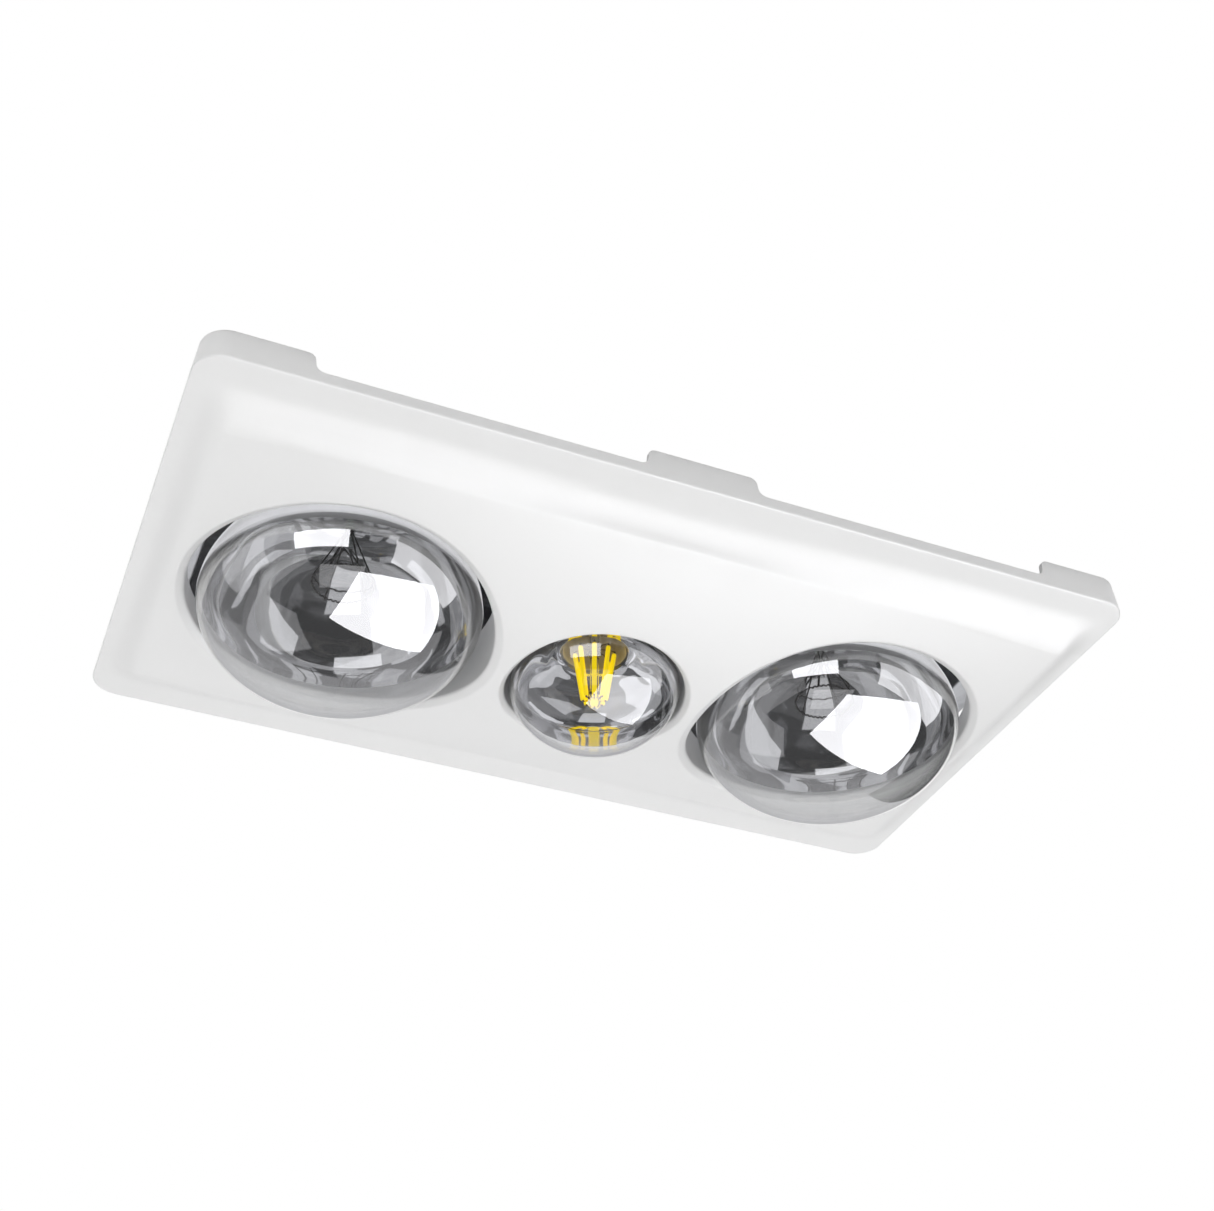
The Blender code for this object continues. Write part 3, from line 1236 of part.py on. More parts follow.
def terminal_box(material):
    x, z = terminal_corner()
    half, wall = TERMINAL_WIDTH / 2, TERMINAL_WALL
    high = (x + TERMINAL_LENGTH, half, z + TERMINAL_HEIGHT)
    obj = box("terminal_box", (x, -half, z), high, material, bevel=TERMINAL_WALL * 0.7)
    low = (x + wall, -half + wall, z + wall)
    high = (x + TERMINAL_LENGTH - wall, half - wall, z + TERMINAL_HEIGHT + CUT_OVERRUN)
    cut(obj, box("terminal_inside", low, high))
    middle = z + TERMINAL_HEIGHT / 2
    ends = ((x - CUT_OVERRUN, 0, middle), (x + wall + CUT_OVERRUN, 0, middle))
    cut(obj, rod("gland_hole", GLAND_BODY_RADIUS + FIT_GAP, *ends, axis="X"))
    wire_x = x + TERMINAL_LENGTH - wall * 4
    low, high = (wire_x, 0, z - CUT_OVERRUN), (wire_x, 0, z + wall + CUT_OVERRUN)
    cut(obj, rod("box_wire_hole", GLAND_BORE_RADIUS, low, high))
    return obj


def terminal_cover(material):
    x, z = terminal_corner()
    half, low = TERMINAL_WIDTH / 2, z + TERMINAL_HEIGHT + FIT_GAP
    high = (x + TERMINAL_LENGTH, half, low + TERMINAL_WALL)
    obj = box("terminal_cover", (x, -half, low), high, material, bevel=TERMINAL_WALL / 4)
    inset = TERMINAL_WALL + FIT_GAP
    low_corner = (x + inset, -half + inset, low - TERMINAL_WALL)
    high = (x + TERMINAL_LENGTH - inset, half - inset, low + TERMINAL_WALL / 2)
    join(obj, box("cover_spigot", low_corner, high))
    return obj


def terminal_block(material):
    """A row of screw terminals on the box's floor."""
    x, z = terminal_corner()
    low_x, floor = x + TERMINAL_LENGTH / 3, z + TERMINAL_WALL + FIT_GAP
    half = TERMINAL_WIDTH / 2 - TERMINAL_WALL * 3
    depth = TERMINAL_LENGTH / 4
    high = (low_x + depth, half, floor + TERMINAL_BLOCK_HEIGHT)
    obj = box("terminal_block", (low_x, -half, floor), high, material, bevel=TERMINAL_WALL / 3)
    pitch = 2 * half / TERMINAL_POLES
    for pole in range(TERMINAL_POLES):
        y = -half + pitch * (pole + 0.5)
        top = floor + TERMINAL_BLOCK_HEIGHT
        low, high = (low_x + depth / 2, y, top - TERMINAL_SCREW_RADIUS), (low_x + depth / 2, y, top + CUT_OVERRUN)
        cut(obj, rod(f"terminal_screw_well_{pole + 1}", TERMINAL_SCREW_RADIUS, low, high))
    return obj


def cable_gland(material):
    """The gland in the box's end wall: locknut inside, body through the wall, dome nut outside."""
    x, z = terminal_corner()
    inside = TERMINAL_WALL + FIT_GAP
    nut = GLAND_NUT_LENGTH
    profile = [
        (GLAND_NUT_RADIUS, inside + nut),
        (GLAND_NUT_RADIUS, inside),
        (GLAND_BODY_RADIUS, inside),
        (GLAND_BODY_RADIUS, -FIT_GAP),
        (GLAND_NUT_RADIUS, -FIT_GAP),
        (GLAND_NUT_RADIUS, -nut),
        (GLAND_NUT_RADIUS, -nut - GLAND_DOME_LENGTH / 2),
        (GLAND_BODY_RADIUS, -nut - GLAND_DOME_LENGTH),
        (GLAND_BORE_RADIUS, -nut - GLAND_DOME_LENGTH),
        (GLAND_BORE_RADIUS, inside + nut),
    ]
    place = (x, 0, z + TERMINAL_HEIGHT / 2)
    obj = turned("cable_gland", profile, place, material, steps=SMALL_ROUND_STEPS)
    obj.rotation_euler = (0, pi / 2, 0)
    return obj


# The swing clamps

def clamp_arm(name, x, y, material):
    """A hub on the clamp screw with an arm that reaches out over the ceiling board, its toe turned down."""
    side = 1 if y > 0 else -1
    low = CLAMP_BOARD_GAP
    obj = rod(name, CLAMP_HUB_RADIUS, (x, y, low), (x, y, low + CLAMP_HUB_HEIGHT), material=material)
    half = CLAMP_ARM_WIDTH / 2
    reach = sorted((y + side * CLAMP_SCREW_RADIUS, y + side * CLAMP_ARM_LENGTH))
    arm_low = low + CLAMP_TOE
    high = (x + half, reach[1], arm_low + CLAMP_ARM_THICKNESS)
    join(obj, box(f"{name}_plate", (x - half, reach[0], arm_low), high))
    end = y + side * CLAMP_ARM_LENGTH
    toe = sorted((end, end - side * CLAMP_ARM_THICKNESS))
    join(obj, box(f"{name}_toe", (x - half, toe[0], low), (x + half, toe[1], arm_low + CLAMP_ARM_THICKNESS / 2)))
    over = CUT_OVERRUN
    bore_ends = ((x, y, low - over), (x, y, low + CLAMP_HUB_HEIGHT + over))
    cut(obj, rod(f"{name}_bore", CLAMP_SCREW_RADIUS + FIT_GAP, *bore_ends))
    return obj


def clamp_screw(name, x, y, material):
    head = CLAMP_SCREW_Z - CLAMP_HEAD_HEIGHT
    profile = [
        (0, head + CLAMP_SCREW_LENGTH),
        (CLAMP_SCREW_RADIUS, head + CLAMP_SCREW_LENGTH),
        (CLAMP_SCREW_RADIUS, CLAMP_SCREW_Z),
        (CLAMP_HEAD_RADIUS, CLAMP_SCREW_Z),
        (CLAMP_HEAD_RADIUS * 0.8, head),
        (0, head),
    ]
    return turned(name, profile, (x, y, 0), material, steps=SMALL_ROUND_STEPS, closed=False)


def main():
    clear_scene()
    looks = {
        "white": make_material("white_moulding", (0.87, 0.87, 0.87), 0.35),
        "steel_sheet": make_material("coated_sheet_steel", (0.62, 0.63, 0.64), 0.45, 0.8),
        "zinc": make_material("zinc_plate", (0.66, 0.67, 0.68), 0.4, 0.9),
        "glass": make_material("lamp_glass", (0.95, 0.95, 0.95), 0.02, 0.0, 0.9),
        "cap": make_material("cap_nickel", (0.7, 0.69, 0.66), 0.3, 1.0),
        "stem": make_material("stem_glass", (0.9, 0.92, 0.9), 0.05, 0.0, 0.8),
        "wire": make_material("filament_wire", (0.25, 0.25, 0.26), 0.4, 1.0),
        "led": make_material("led_phosphor", (0.95, 0.72, 0.05), 0.5),
        "ceramic": make_material("lamp_holder_ceramic", (0.9, 0.89, 0.85), 0.3),
        "brass": make_material("shell_brass", (0.75, 0.6, 0.3), 0.3, 1.0),
        "scroll": make_material("grey_moulding", (0.75, 0.76, 0.77), 0.45),
        "impeller": make_material("impeller_plastic", (0.12, 0.12, 0.13), 0.5),
        "rotor": make_material("rotor_iron", (0.35, 0.35, 0.36), 0.4, 0.9),
        "core": make_material("core_laminations", (0.3, 0.3, 0.31), 0.5, 0.8),
        "coil": make_material("coil_winding", (0.45, 0.2, 0.08), 0.4, 0.3),
        "steel": make_material("bright_steel", (0.7, 0.7, 0.71), 0.25, 1.0),
        "flap": make_material("flap_plastic", (0.8, 0.8, 0.79), 0.5),
        "box": make_material("terminal_box_plastic", (0.16, 0.16, 0.17), 0.5),
        "block": make_material("terminal_block_plastic", (0.85, 0.85, 0.8), 0.45),
    }
    fascia(looks["white"])
    housing_tray(looks["steel_sheet"])
    for index, (x, y) in enumerate(post_places(), 1):
        fascia_clip(f"fascia_clip_{index}", x, y, looks["zinc"])
    for side, x in (("left", -LAMP_X), ("right", LAMP_X)):
        heat_lamp(side, x, looks)
        lamp_holder(f"heat_lamp_{side}", x, HEAT_RIM_Z, HEAT_LAMP_NECK_HEIGHT, looks)
    centre_lamp(looks)
    lamp_holder("centre_lamp", 0.0, CENTRE_RIM_Z, CENTRE_LAMP_NECK_HEIGHT, looks)
    fan_scroll(looks["scroll"])
    inlet_ring(looks["scroll"])
    impeller(looks["impeller"])
    motor_plate(looks["zinc"])
    for index, (x, y) in enumerate(plate_screw_places(), 1):
        plate_screw(f"motor_plate_screw_{index}", x, y, looks["steel"])
    motor_core(looks["core"])
    motor_coil(looks["coil"])
    bearing_bridge("bearing_bridge_upper", CORE_TOP, 1, looks["zinc"])
    bearing_bridge("bearing_bridge_lower", CORE_Z, -1, looks["zinc"])
    rotor_and_shaft(looks)
    duct_adaptor(looks["scroll"])
    upper, lower = FLAP_PIVOT_ZS
    draught_flap("upper", upper, lower + FLAP_KNUCKLE_RADIUS, looks)
    draught_flap("lower", lower, MOUTH_LOW_Z, looks)
    terminal_box(looks["box"])
    terminal_cover(looks["box"])
    terminal_block(looks["block"])
    cable_gland(looks["box"])
    for index, (x, y) in enumerate(clamp_places(), 1):
        clamp_arm(f"clamp_arm_{index}", x, y, looks["zinc"])
        clamp_screw(f"clamp_screw_{index}", x, y, looks["steel"])


main()
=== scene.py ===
import bmesh
import bpy
from collections import namedtuple
from math import asin, cos, degrees, hypot, pi, radians, sin
from mathutils import Matrix, Vector
from mathutils.geometry import delaunay_2d_cdt


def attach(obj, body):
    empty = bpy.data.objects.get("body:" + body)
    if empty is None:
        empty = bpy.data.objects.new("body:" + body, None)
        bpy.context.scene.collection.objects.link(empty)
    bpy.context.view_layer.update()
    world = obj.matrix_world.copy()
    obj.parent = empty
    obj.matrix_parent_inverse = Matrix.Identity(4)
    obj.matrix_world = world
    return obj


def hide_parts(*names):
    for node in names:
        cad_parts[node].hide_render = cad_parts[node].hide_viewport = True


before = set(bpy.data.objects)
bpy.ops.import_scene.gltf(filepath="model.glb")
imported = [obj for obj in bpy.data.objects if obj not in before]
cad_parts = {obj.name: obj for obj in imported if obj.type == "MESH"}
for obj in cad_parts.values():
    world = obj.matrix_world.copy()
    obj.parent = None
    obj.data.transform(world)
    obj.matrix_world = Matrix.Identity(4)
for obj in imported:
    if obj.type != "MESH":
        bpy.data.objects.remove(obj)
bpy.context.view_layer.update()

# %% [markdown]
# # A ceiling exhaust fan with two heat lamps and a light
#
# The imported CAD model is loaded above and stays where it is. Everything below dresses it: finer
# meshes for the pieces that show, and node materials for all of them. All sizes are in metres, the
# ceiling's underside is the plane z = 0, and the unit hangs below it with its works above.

# %% [markdown]
# ## The camera
#
# The photograph was taken from below and from the front left. A camera can be placed by eye, but
# straight edges give it away exactly: the fascia's four edges fix the direction, and the lamps'
# known sizes fix the distance. The last three rows below are the camera's right, up and back axes.

# %% Camera
CAMERA_PLACE = (-0.25451, -0.62792, -0.51056)
CAMERA_RIGHT = (0.92355, -0.38348, -0.00022)
CAMERA_UP = (-0.23365, -0.56316, 0.79263)
CAMERA_BACK = (-0.30408, -0.73198, -0.60971)
DOWN = Vector((0, 0, -1))

scene = bpy.context.scene
camera_data = bpy.data.cameras.new("photo_camera")
camera_data.lens = 52.802
camera_data.sensor_width = 36.0
camera = bpy.data.objects.new("photo_camera", camera_data)
turn = Matrix((CAMERA_RIGHT, CAMERA_UP, CAMERA_BACK)).transposed()
camera.matrix_world = Matrix.Translation(CAMERA_PLACE) @ turn.to_4x4()
scene.collection.objects.link(camera)
scene.camera = camera
scene.view_settings.view_transform = "Standard"
print("camera looks up by", round(90 - degrees(Vector(CAMERA_BACK).angle(DOWN)), 1), "deg")

# %% [markdown]
# ## Node materials
#
# Every finish below is a small node tree on one Principled shader. A few helpers keep them readable:
# they start the tree, add a slow colour drift and add a fine bump, which are what keep a real surface
# from looking like a flat fill. Object coordinates are used, so no unwrapping is needed.

# %% Node helpers
def set_sockets(node, **sockets):
    """Set a node's sockets by name, with _ for a space."""
    for socket, value in sockets.items():
        node.inputs[socket.replace("_", " ")].default_value = value
    return node


def add(finish, kind, **sockets):
    """A new node in a finish's tree."""
    return set_sockets(finish.node_tree.nodes.new("ShaderNode" + kind), **sockets)


def math_node(finish, operation, limit=None):
    node = add(finish, "Math")
    node.operation = operation
    if limit is not None:
        node.inputs[1].default_value = limit
    return node


def join(finish, *pairs):
    """Link each output to the socket that it feeds."""
    for output, socket in pairs:
        finish.node_tree.links.new(output, socket)


def blend(finish, factor, first, second):
    """A shader that goes from the first to the second as the factor goes from 0 to 1."""
    mixed = add(finish, "MixShader")
    join(finish, (factor, mixed.inputs[0]), (first.outputs[0], mixed.inputs[1]),
         (second.outputs[0], mixed.inputs[2]))
    return mixed


def show(finish, shader):
    """Make a shader the finish's surface."""
    surface = finish.node_tree.nodes["Material Output"].inputs["Surface"]
    join(finish, (shader.outputs[0], surface))


print("node helpers ready")

# %% Finish helpers
MIDDLE = (0.3, 0.7)


def blank_finish(name):
    finish = bpy.data.materials.new(name)
    finish.use_nodes = True
    return finish


def principled(finish):
    return finish.node_tree.nodes["Principled BSDF"]


def new_finish(name, colour, roughness, **sockets):
    """A material with one Principled shader whose fixed sockets are set by name."""
    finish = blank_finish(name)
    set_sockets(principled(finish), Base_Color=(*colour, 1), Roughness=roughness, **sockets)
    return finish


def noise(finish, scale, detail=3.0, stretch=(1, 1, 1)):
    """A noise texture in the object's own coordinates, stretched where a grain runs one way."""
    place, mapping = add(finish, "TexCoord"), add(finish, "Mapping", Scale=stretch)
    texture = add(finish, "TexNoise", Scale=scale, Detail=detail)
    join(finish, (place.outputs["Object"], mapping.inputs["Vector"]),
         (mapping.outputs["Vector"], texture.inputs["Vector"]))
    return texture.outputs["Fac"]


def tint(finish, factor, first, second):
    """Drift the base colour between two tones."""
    ramp = add(finish, "ValToRGB")
    for element, position, tone in zip(ramp.color_ramp.elements, MIDDLE, (first, second)):
        element.position, element.color = position, (*tone, 1)
    join(finish, (factor, ramp.inputs["Fac"]),
         (ramp.outputs["Color"], principled(finish).inputs["Base Color"]))


def vary_roughness(finish, factor, low, high):
    """Map a factor's middle range to a range of roughness."""
    mapped = add(finish, "MapRange", From_Min=MIDDLE[0], From_Max=MIDDLE[1], To_Min=low, To_Max=high)
    join(finish, (factor, mapped.inputs["Value"]),
         (mapped.outputs["Result"], principled(finish).inputs["Roughness"]))


def bump(finish, factor, height, strength=1.0):
    """Raise the surface by a factor, at most by height in metres."""
    relief = add(finish, "Bump", Distance=height, Strength=strength)
    join(finish, (factor, relief.inputs["Height"]),
         (relief.outputs["Normal"], principled(finish).inputs["Normal"]))


print("finish helpers ready")

# %% [markdown]
# ## The ceiling, the room and the light
#
# The unit is photographed against plain white, and it hangs from a ceiling, so the white behind it is
# the ceiling itself. The board is seen from below only: from above it turns clear to the camera, so
# that the housing can be looked at, and from below it is clear to the mirrors in the lamps. It gives
# off white only towards the camera and towards rays that metal and glass send out, so it adds no
# light to the fascia.

# %% Ceiling board with its cut-out
CUT_OUT = (0.1905, 0.0990)
CEILING_HALF = 2.4
BACK_TONE = 0.5


def seen_by(finish):
    """The ray's own node, and 1 for camera, glossy and transmission rays."""
    path = add(finish, "LightPath")
    either, any_of = math_node(finish, "MAXIMUM"), math_node(finish, "MAXIMUM")
    join(finish, (path.outputs["Is Camera Ray"], either.inputs[0]),
         (path.outputs["Is Glossy Ray"], either.inputs[1]), (either.outputs[0], any_of.inputs[0]),
         (path.outputs["Is Transmission Ray"], any_of.inputs[1]))
    return path, any_of.outputs[0]


def ceiling_finish():
    finish = new_finish("ceiling_paint", (0.86, 0.86, 0.86), 0.5)
    path, seen = seen_by(finish)
    back = add(finish, "NewGeometry").outputs["Backfacing"]
    tone = add(finish, "MapRange", To_Min=1.0, To_Max=BACK_TONE)
    glow, gone = add(finish, "Emission"), add(finish, "Mix")
    join(finish, (back, tone.inputs["Value"]), (tone.outputs["Result"], glow.inputs["Strength"]),
         (back, gone.inputs[0]), (path.outputs["Is Glossy Ray"], gone.inputs[2]),
         (path.outputs["Is Camera Ray"], gone.inputs[3]))
    board = blend(finish, seen, principled(finish), glow)
    show(finish, blend(finish, gone.outputs[0], board, add(finish, "BsdfTransparent")))
    return finish


def stage_mesh(name, points, faces, finish):
    """A thing of the stage, which is no part of the unit."""
    mesh = bpy.data.meshes.new(name)
    mesh.from_pydata([tuple(point) for point in points], [], faces)
    thing = bpy.data.objects.new(name, mesh)
    thing.data.materials.append(finish)
    scene.collection.objects.link(thing)
    return thing


def quads_between(count):
    """Faces between two closed rings of count points."""
    return [((i + 1) % count, count + (i + 1) % count, count + i, i) for i in range(count)]


def rectangle(centre, right, up):
    """Four corners from a middle and two half sides."""
    centre, right, up = Vector(centre), Vector(right), Vector(up)
    return [centre - right - up, centre + right - up, centre + right + up, centre - right + up]


def level(half_x, half_y, z):
    return rectangle((0, 0, z), (half_x, 0, 0), (0, half_y, 0))


board_points = level(*CUT_OUT, 0.0) + level(CEILING_HALF, CEILING_HALF, 0.0)
ceiling = stage_mesh("ceiling", board_points, quads_between(4), ceiling_finish())
print("ceiling board faces", "down" if ceiling.data.polygons[0].normal.z < 0 else "up")

# %% [markdown]
# The floor is far below, pale and matt, and takes the unit's soft shadow. Chrome and silvered glass
# only look like metal when they have something dark to mirror, so dark walls stand round the unit as
# they do in a studio. They are hidden from the camera and from the light that falls on the fascia:
# only the reflections meet them.

# %% Floor, walls and world
FLOOR_Z, FLOOR_GLOW, WORLD_GLOW = -1.30, 0.26, 0.64
ROOM_HALF, WALL_MIDDLE, WALL_HALF_HEIGHT, UNDER_Z = 3.0, -0.90, 1.9, -2.80

floor_paint = new_finish("floor_paint", (0.84, 0.84, 0.84), 0.8, Emission_Color=(1, 1, 1, 1))
floor = stage_mesh("floor", level(ROOM_HALF, ROOM_HALF, FLOOR_Z), [(0, 1, 2, 3)], floor_paint)
floor_glow = math_node(floor_paint, "MULTIPLY", FLOOR_GLOW)
join(floor_paint, (add(floor_paint, "LightPath").outputs["Is Camera Ray"], floor_glow.inputs[0]),
     (floor_glow.outputs[0], principled(floor_paint).inputs["Emission Strength"]))
floor.visible_glossy = floor.visible_transmission = False


def mirror_card(name, points, tone, faces=None, first_surface_only=False):
    """A card of one even tone for the reflections alone: camera, light and shadow pass it by."""
    finish = blank_finish(name)
    shader = add(finish, "Emission", Color=(tone, tone, tone * 1.03, 1))
    if first_surface_only:
        first = math_node(finish, "LESS_THAN", 1.5)
        join(finish, (add(finish, "LightPath").outputs["Ray Depth"], first.inputs[0]))
        shader = blend(finish, first.outputs[0], add(finish, "BsdfTransparent"), shader)
    show(finish, shader)
    card = stage_mesh(name, points, faces or [tuple(range(len(points)))], finish)
    card.visible_camera = card.visible_diffuse = card.visible_shadow = False


mirror_card("wall_under", level(ROOM_HALF, ROOM_HALF, UNDER_Z), 0.10)
WALLS = (("front", 0, -1, 0.05), ("back", 0, 1, 0.62), ("left", -1, 0, 0.42), ("right", 1, 0, 0.10))
for wall, x, y, tone in WALLS:
    middle = (x * ROOM_HALF, y * ROOM_HALF, WALL_MIDDLE)
    across = (ROOM_HALF, 0, 0) if y else (0, ROOM_HALF, 0)
    mirror_card(f"wall_{wall}", rectangle(middle, across, (0, 0, WALL_HALF_HEIGHT)), tone)

world = bpy.data.worlds.new("studio")
scene.world = world
world.use_nodes = True
strength = add(world, "MapRange", To_Min=WORLD_GLOW, To_Max=1.0)
backdrop = set_sockets(world.node_tree.nodes["Background"], Color=(1, 1, 1, 1))
join(world, (seen_by(world)[1], strength.inputs["Value"]),
     (strength.outputs["Result"], backdrop.inputs["Strength"]))
print("floor at", FLOOR_Z, "and", len(WALLS) + 1, "walls for the reflections")

# %% [markdown]
# The photograph's dome shows a large white window, and the silvered shoulder shows a small one and a
# pale screen. Each was traced in the picture and turned into directions with the mirror law. A card
# is then cut to cover those directions, which puts every reflection back in its place.
#
# The window is only met by the first surface a ray reaches. A thin glass returns a twentieth of it, and
# the mirror behind would return it all and drown the lamp in white. The small window and the pale
# screen shine the same way for the glass, and show the silver behind it a dimmer card.

# %% Bright cards
LAMP_MIDDLE = Vector((-0.10, 0.0, -0.05))


def heading(turn, lift):
    """A direction: turn in degrees from the front towards the right, lift above the horizon."""
    turn, lift = radians(turn), radians(lift)
    return (sin(turn) * cos(lift), -cos(turn) * cos(lift), sin(lift))


def card_across(name, distance, ways, tone, first_surface_only=False):
    """A flat card that covers the given directions as seen from the lamps."""
    ways = [Vector(way).normalized() for way in ways]
    middle = sum(ways, Vector()).normalized()
    points = [LAMP_MIDDLE + way * (distance / way.dot(middle)) for way in ways]
    mirror_card(name, points, tone, first_surface_only=first_surface_only)


WINDOW = ((0.01, -0.73, -0.69), (0.85, -0.46, -0.26), (0.90, -0.22, -0.38), (0.71, 0.37, -0.60),
          (-0.10, 0.04, -0.99))
SMALL_WINDOW = ((-51, -14), (-12, -14), (-12, 24), (-51, 24))
PALE_SCREEN = ((22, -20), (82, -20), (82, 26), (22, 26))
GLARES = (("small_window_glare", 2.0, SMALL_WINDOW, 6.0), ("pale_screen_glare", 2.0, PALE_SCREEN, 3.0))
SCREENS = (
    ("small_window", 2.2, SMALL_WINDOW, 1.10),
    ("pale_screen", 2.2, PALE_SCREEN, 0.75),
    ("left_screen", 2.0, ((-112, -22), (-74, -22), (-74, 16), (-112, 16)), 1.0),
    ("low_screen", 2.6, ((-35, -38), (5, -36), (5, -60), (-45, -62)), 0.70),
    ("bench_top", 2.6, ((-150, -28), (-95, -30), (-110, -66), (-170, -60)), 0.55),
    ("far_panel", 2.6, ((100, -25), (160, -22), (170, -50), (110, -58)), 0.60),
    ("side_panel", 2.6, ((30, -44), (85, -40), (70, -68), (20, -70)), 0.50),
)
card_across("bright_window", 1.6, WINDOW, 6.6, True)
for card, distance, corners, tone in GLARES + SCREENS:
    card_across(card, distance, [heading(*corner) for corner in corners], tone, card.endswith("glare"))
print(1 + len(GLARES) + len(SCREENS), "bright cards")

# %% [markdown]
# Round each lamp the silvered bowl mirrors what stands above the opening. In the photograph that is
# pale, because light from the room bounces about up there. A flat ring seen by mirrors alone does the
# same, and leaves the gaps dark where the eye looks straight into them.

# %% Pale rings above the openings
HEAT_X = 0.12235
RING_Z, RING_TONE, RING_POINTS = -0.0105, 0.78, 64


def circle(radius, z, count, x=0.0):
    """Points of a closed circle about an upright axis."""
    angles = [2 * pi * i / count for i in range(count)]
    return [(x + radius * cos(a), radius * sin(a), z) for a in angles]


for lamp, x, inner, outer in (("left", -HEAT_X, 0.0575, 0.084), ("centre", 0, 0.034, 0.038),
                              ("right", HEAT_X, 0.0575, 0.084)):
    rings = circle(inner, RING_Z, RING_POINTS, x) + circle(outer, RING_Z, RING_POINTS, x)
    mirror_card(f"bounce_ring_{lamp}", rings, RING_TONE, quads_between(RING_POINTS))
print("three pale rings")

# %% [markdown]
# Four large softboxes give the even light: two below for the face, and two above for whoever looks at
# the housing. Reflections don't meet them, since the cards stand in for them there.

# %% Softboxes
SOFTBOXES = (
    ("softbox_key", (0.12, 0.16, -1.15), 0.0, (0.9, 0.9), 5.65),
    ("softbox_fill", (-0.7, -0.7, -0.80), 0.0, (0.7, 0.9), 2.6),
    ("softbox_top_left", (-0.9, -0.9, 1.3), 0.1, (0.9, 0.9), 10.0),
    ("softbox_top_right", (0.9, 0.6, 1.2), 0.1, (0.8, 0.8), 7.0),
)
for name, place, aim_z, size, power in SOFTBOXES:
    light = bpy.data.lights.new(name, "AREA")
    light.shape = "RECTANGLE"
    light.size, light.size_y = size
    light.energy = power
    box = bpy.data.objects.new(name, light)
    box.location = place
    box.rotation_euler = (Vector((0, 0, aim_z)) - Vector(place)).to_track_quat("-Z", "Y").to_euler()
    scene.collection.objects.link(box)
    box.visible_camera = box.visible_glossy = box.visible_transmission = False
print(len(SOFTBOXES), "softboxes placed")

# %% [markdown]
# ## The fascia: its outline
#
# The fascia is one white moulding: a crowned face, a short skirt, and tabs that stand on the ceiling
# with slots between them for the air. Its form could be cut from a box with booleans, but a moulding
# has small radii on every edge, and cuts leave slivers that show in the shading. So the mesh is laid
# out: stations go round the outline, and each knows how high the skirt stands there.

# %% Stations round the outline
HALF_LENGTH, HALF_WIDTH, CORNER_RADIUS = 0.215, 0.1237, 0.0135
OUTLINE_Z, FASCIA_WALL, SKIRT_DRAFT = -0.016, 0.0024, 0.0015
SLOT_DEPTH, SHOULDER, FOOT = 0.0097, 0.0035, 0.004
STATION_STEP = 0.004
LONG_SLOTS = ((-0.169, -0.0255), (0.0255, 0.169))
END_SLOTS = ((-0.0777, 0.0777),)


def bend(centre, radius, start, end, steps):
    """Points of an arc, by degrees."""
    angles = [radians(start + (end - start) * i / steps) for i in range(steps + 1)]
    return [(centre[0] + radius * cos(a), centre[1] + radius * sin(a)) for a in angles]


def skirt_top(half, slots):
    """The skirt's upper edge along one straight side, as (place along it, height)."""
    hair = 0.00012
    line = [(-half, 0.0)]
    for low, high in slots:
        line += bend((low - SHOULDER - hair, -SHOULDER), SHOULDER, 90, 0, 5)
        line += bend((low + FOOT + hair, FOOT - SLOT_DEPTH), FOOT, 180, 270, 6)
        line += bend((high - FOOT - hair, FOOT - SLOT_DEPTH), FOOT, 270, 360, 6)
        line += bend((high + SHOULDER + hair, -SHOULDER), SHOULDER, 180, 90, 5)
    line.append((half, 0.0))
    filled = [line[0]]
    for (s0, z0), (s1, z1) in zip(line, line[1:]):
        parts = max(1, round((s1 - s0) / STATION_STEP))
        shares = range(1, parts + 1)
        filled += [(s0 + (s1 - s0) * i / parts, z0 + (z1 - z0) * i / parts) for i in shares]
    return filled


def outline_stations():
    """Each station: its point on the outline, the way out from it, and the skirt's height there."""
    long_half, end_half = HALF_LENGTH - CORNER_RADIUS, HALF_WIDTH - CORNER_RADIUS
    long_top, end_top = skirt_top(long_half, LONG_SLOTS), skirt_top(end_half, END_SLOTS)
    stations = []
    sides = (
        (long_top, lambda s: (s, -HALF_WIDTH), (0, -1), (long_half, -end_half), -90),
        (end_top, lambda s: (HALF_LENGTH, s), (1, 0), (long_half, end_half), 0),
        (long_top, lambda s: (-s, HALF_WIDTH), (0, 1), (-long_half, end_half), 90),
        (end_top, lambda s: (-HALF_LENGTH, -s), (-1, 0), (-long_half, -end_half), 180),
    )
    for top, at, out, corner, start in sides:
        stations += [(*at(s), *out, z) for s, z in top]
        for i in range(1, 12):
            a = radians(start + 90 * i / 12)
            x, y = corner[0] + CORNER_RADIUS * cos(a), corner[1] + CORNER_RADIUS * sin(a)
            stations.append((x, y, cos(a), sin(a), 0.0))
    return stations


stations = outline_stations()
print(len(stations), "stations round the outline")

# %% [markdown]
# ## The fascia: the crowned face
#
# Seen from below, the face swells between two creases and falls away to a flat brim outside them.
# The height at any point comes from one formula, worked out against the photograph, so every later
# piece that touches the face can ask it for the height.

# %% Height of the face
CREASE_MIDDLE, CREASE_PULL = 0.0938, 0.0066
CROWN_EDGE, CROWN_RISE, CROWN_HALF = 0.0075, 0.0217, 0.0965
LONG_POWER, CROSS_POWER = 1.73, 1.67
BRIM, HOLLOW_HALF, END_FLAT, END_FALL = 0.013, 0.160, 0.0035, 0.015


def ease(share):
    share = min(max(share, 0.0), 1.0)
    return share * share * (3 - 2 * share)


def crease_at(x):
    """Half the width of the crowned band."""
    return CREASE_MIDDLE - CREASE_PULL * (x / HALF_LENGTH) ** 2


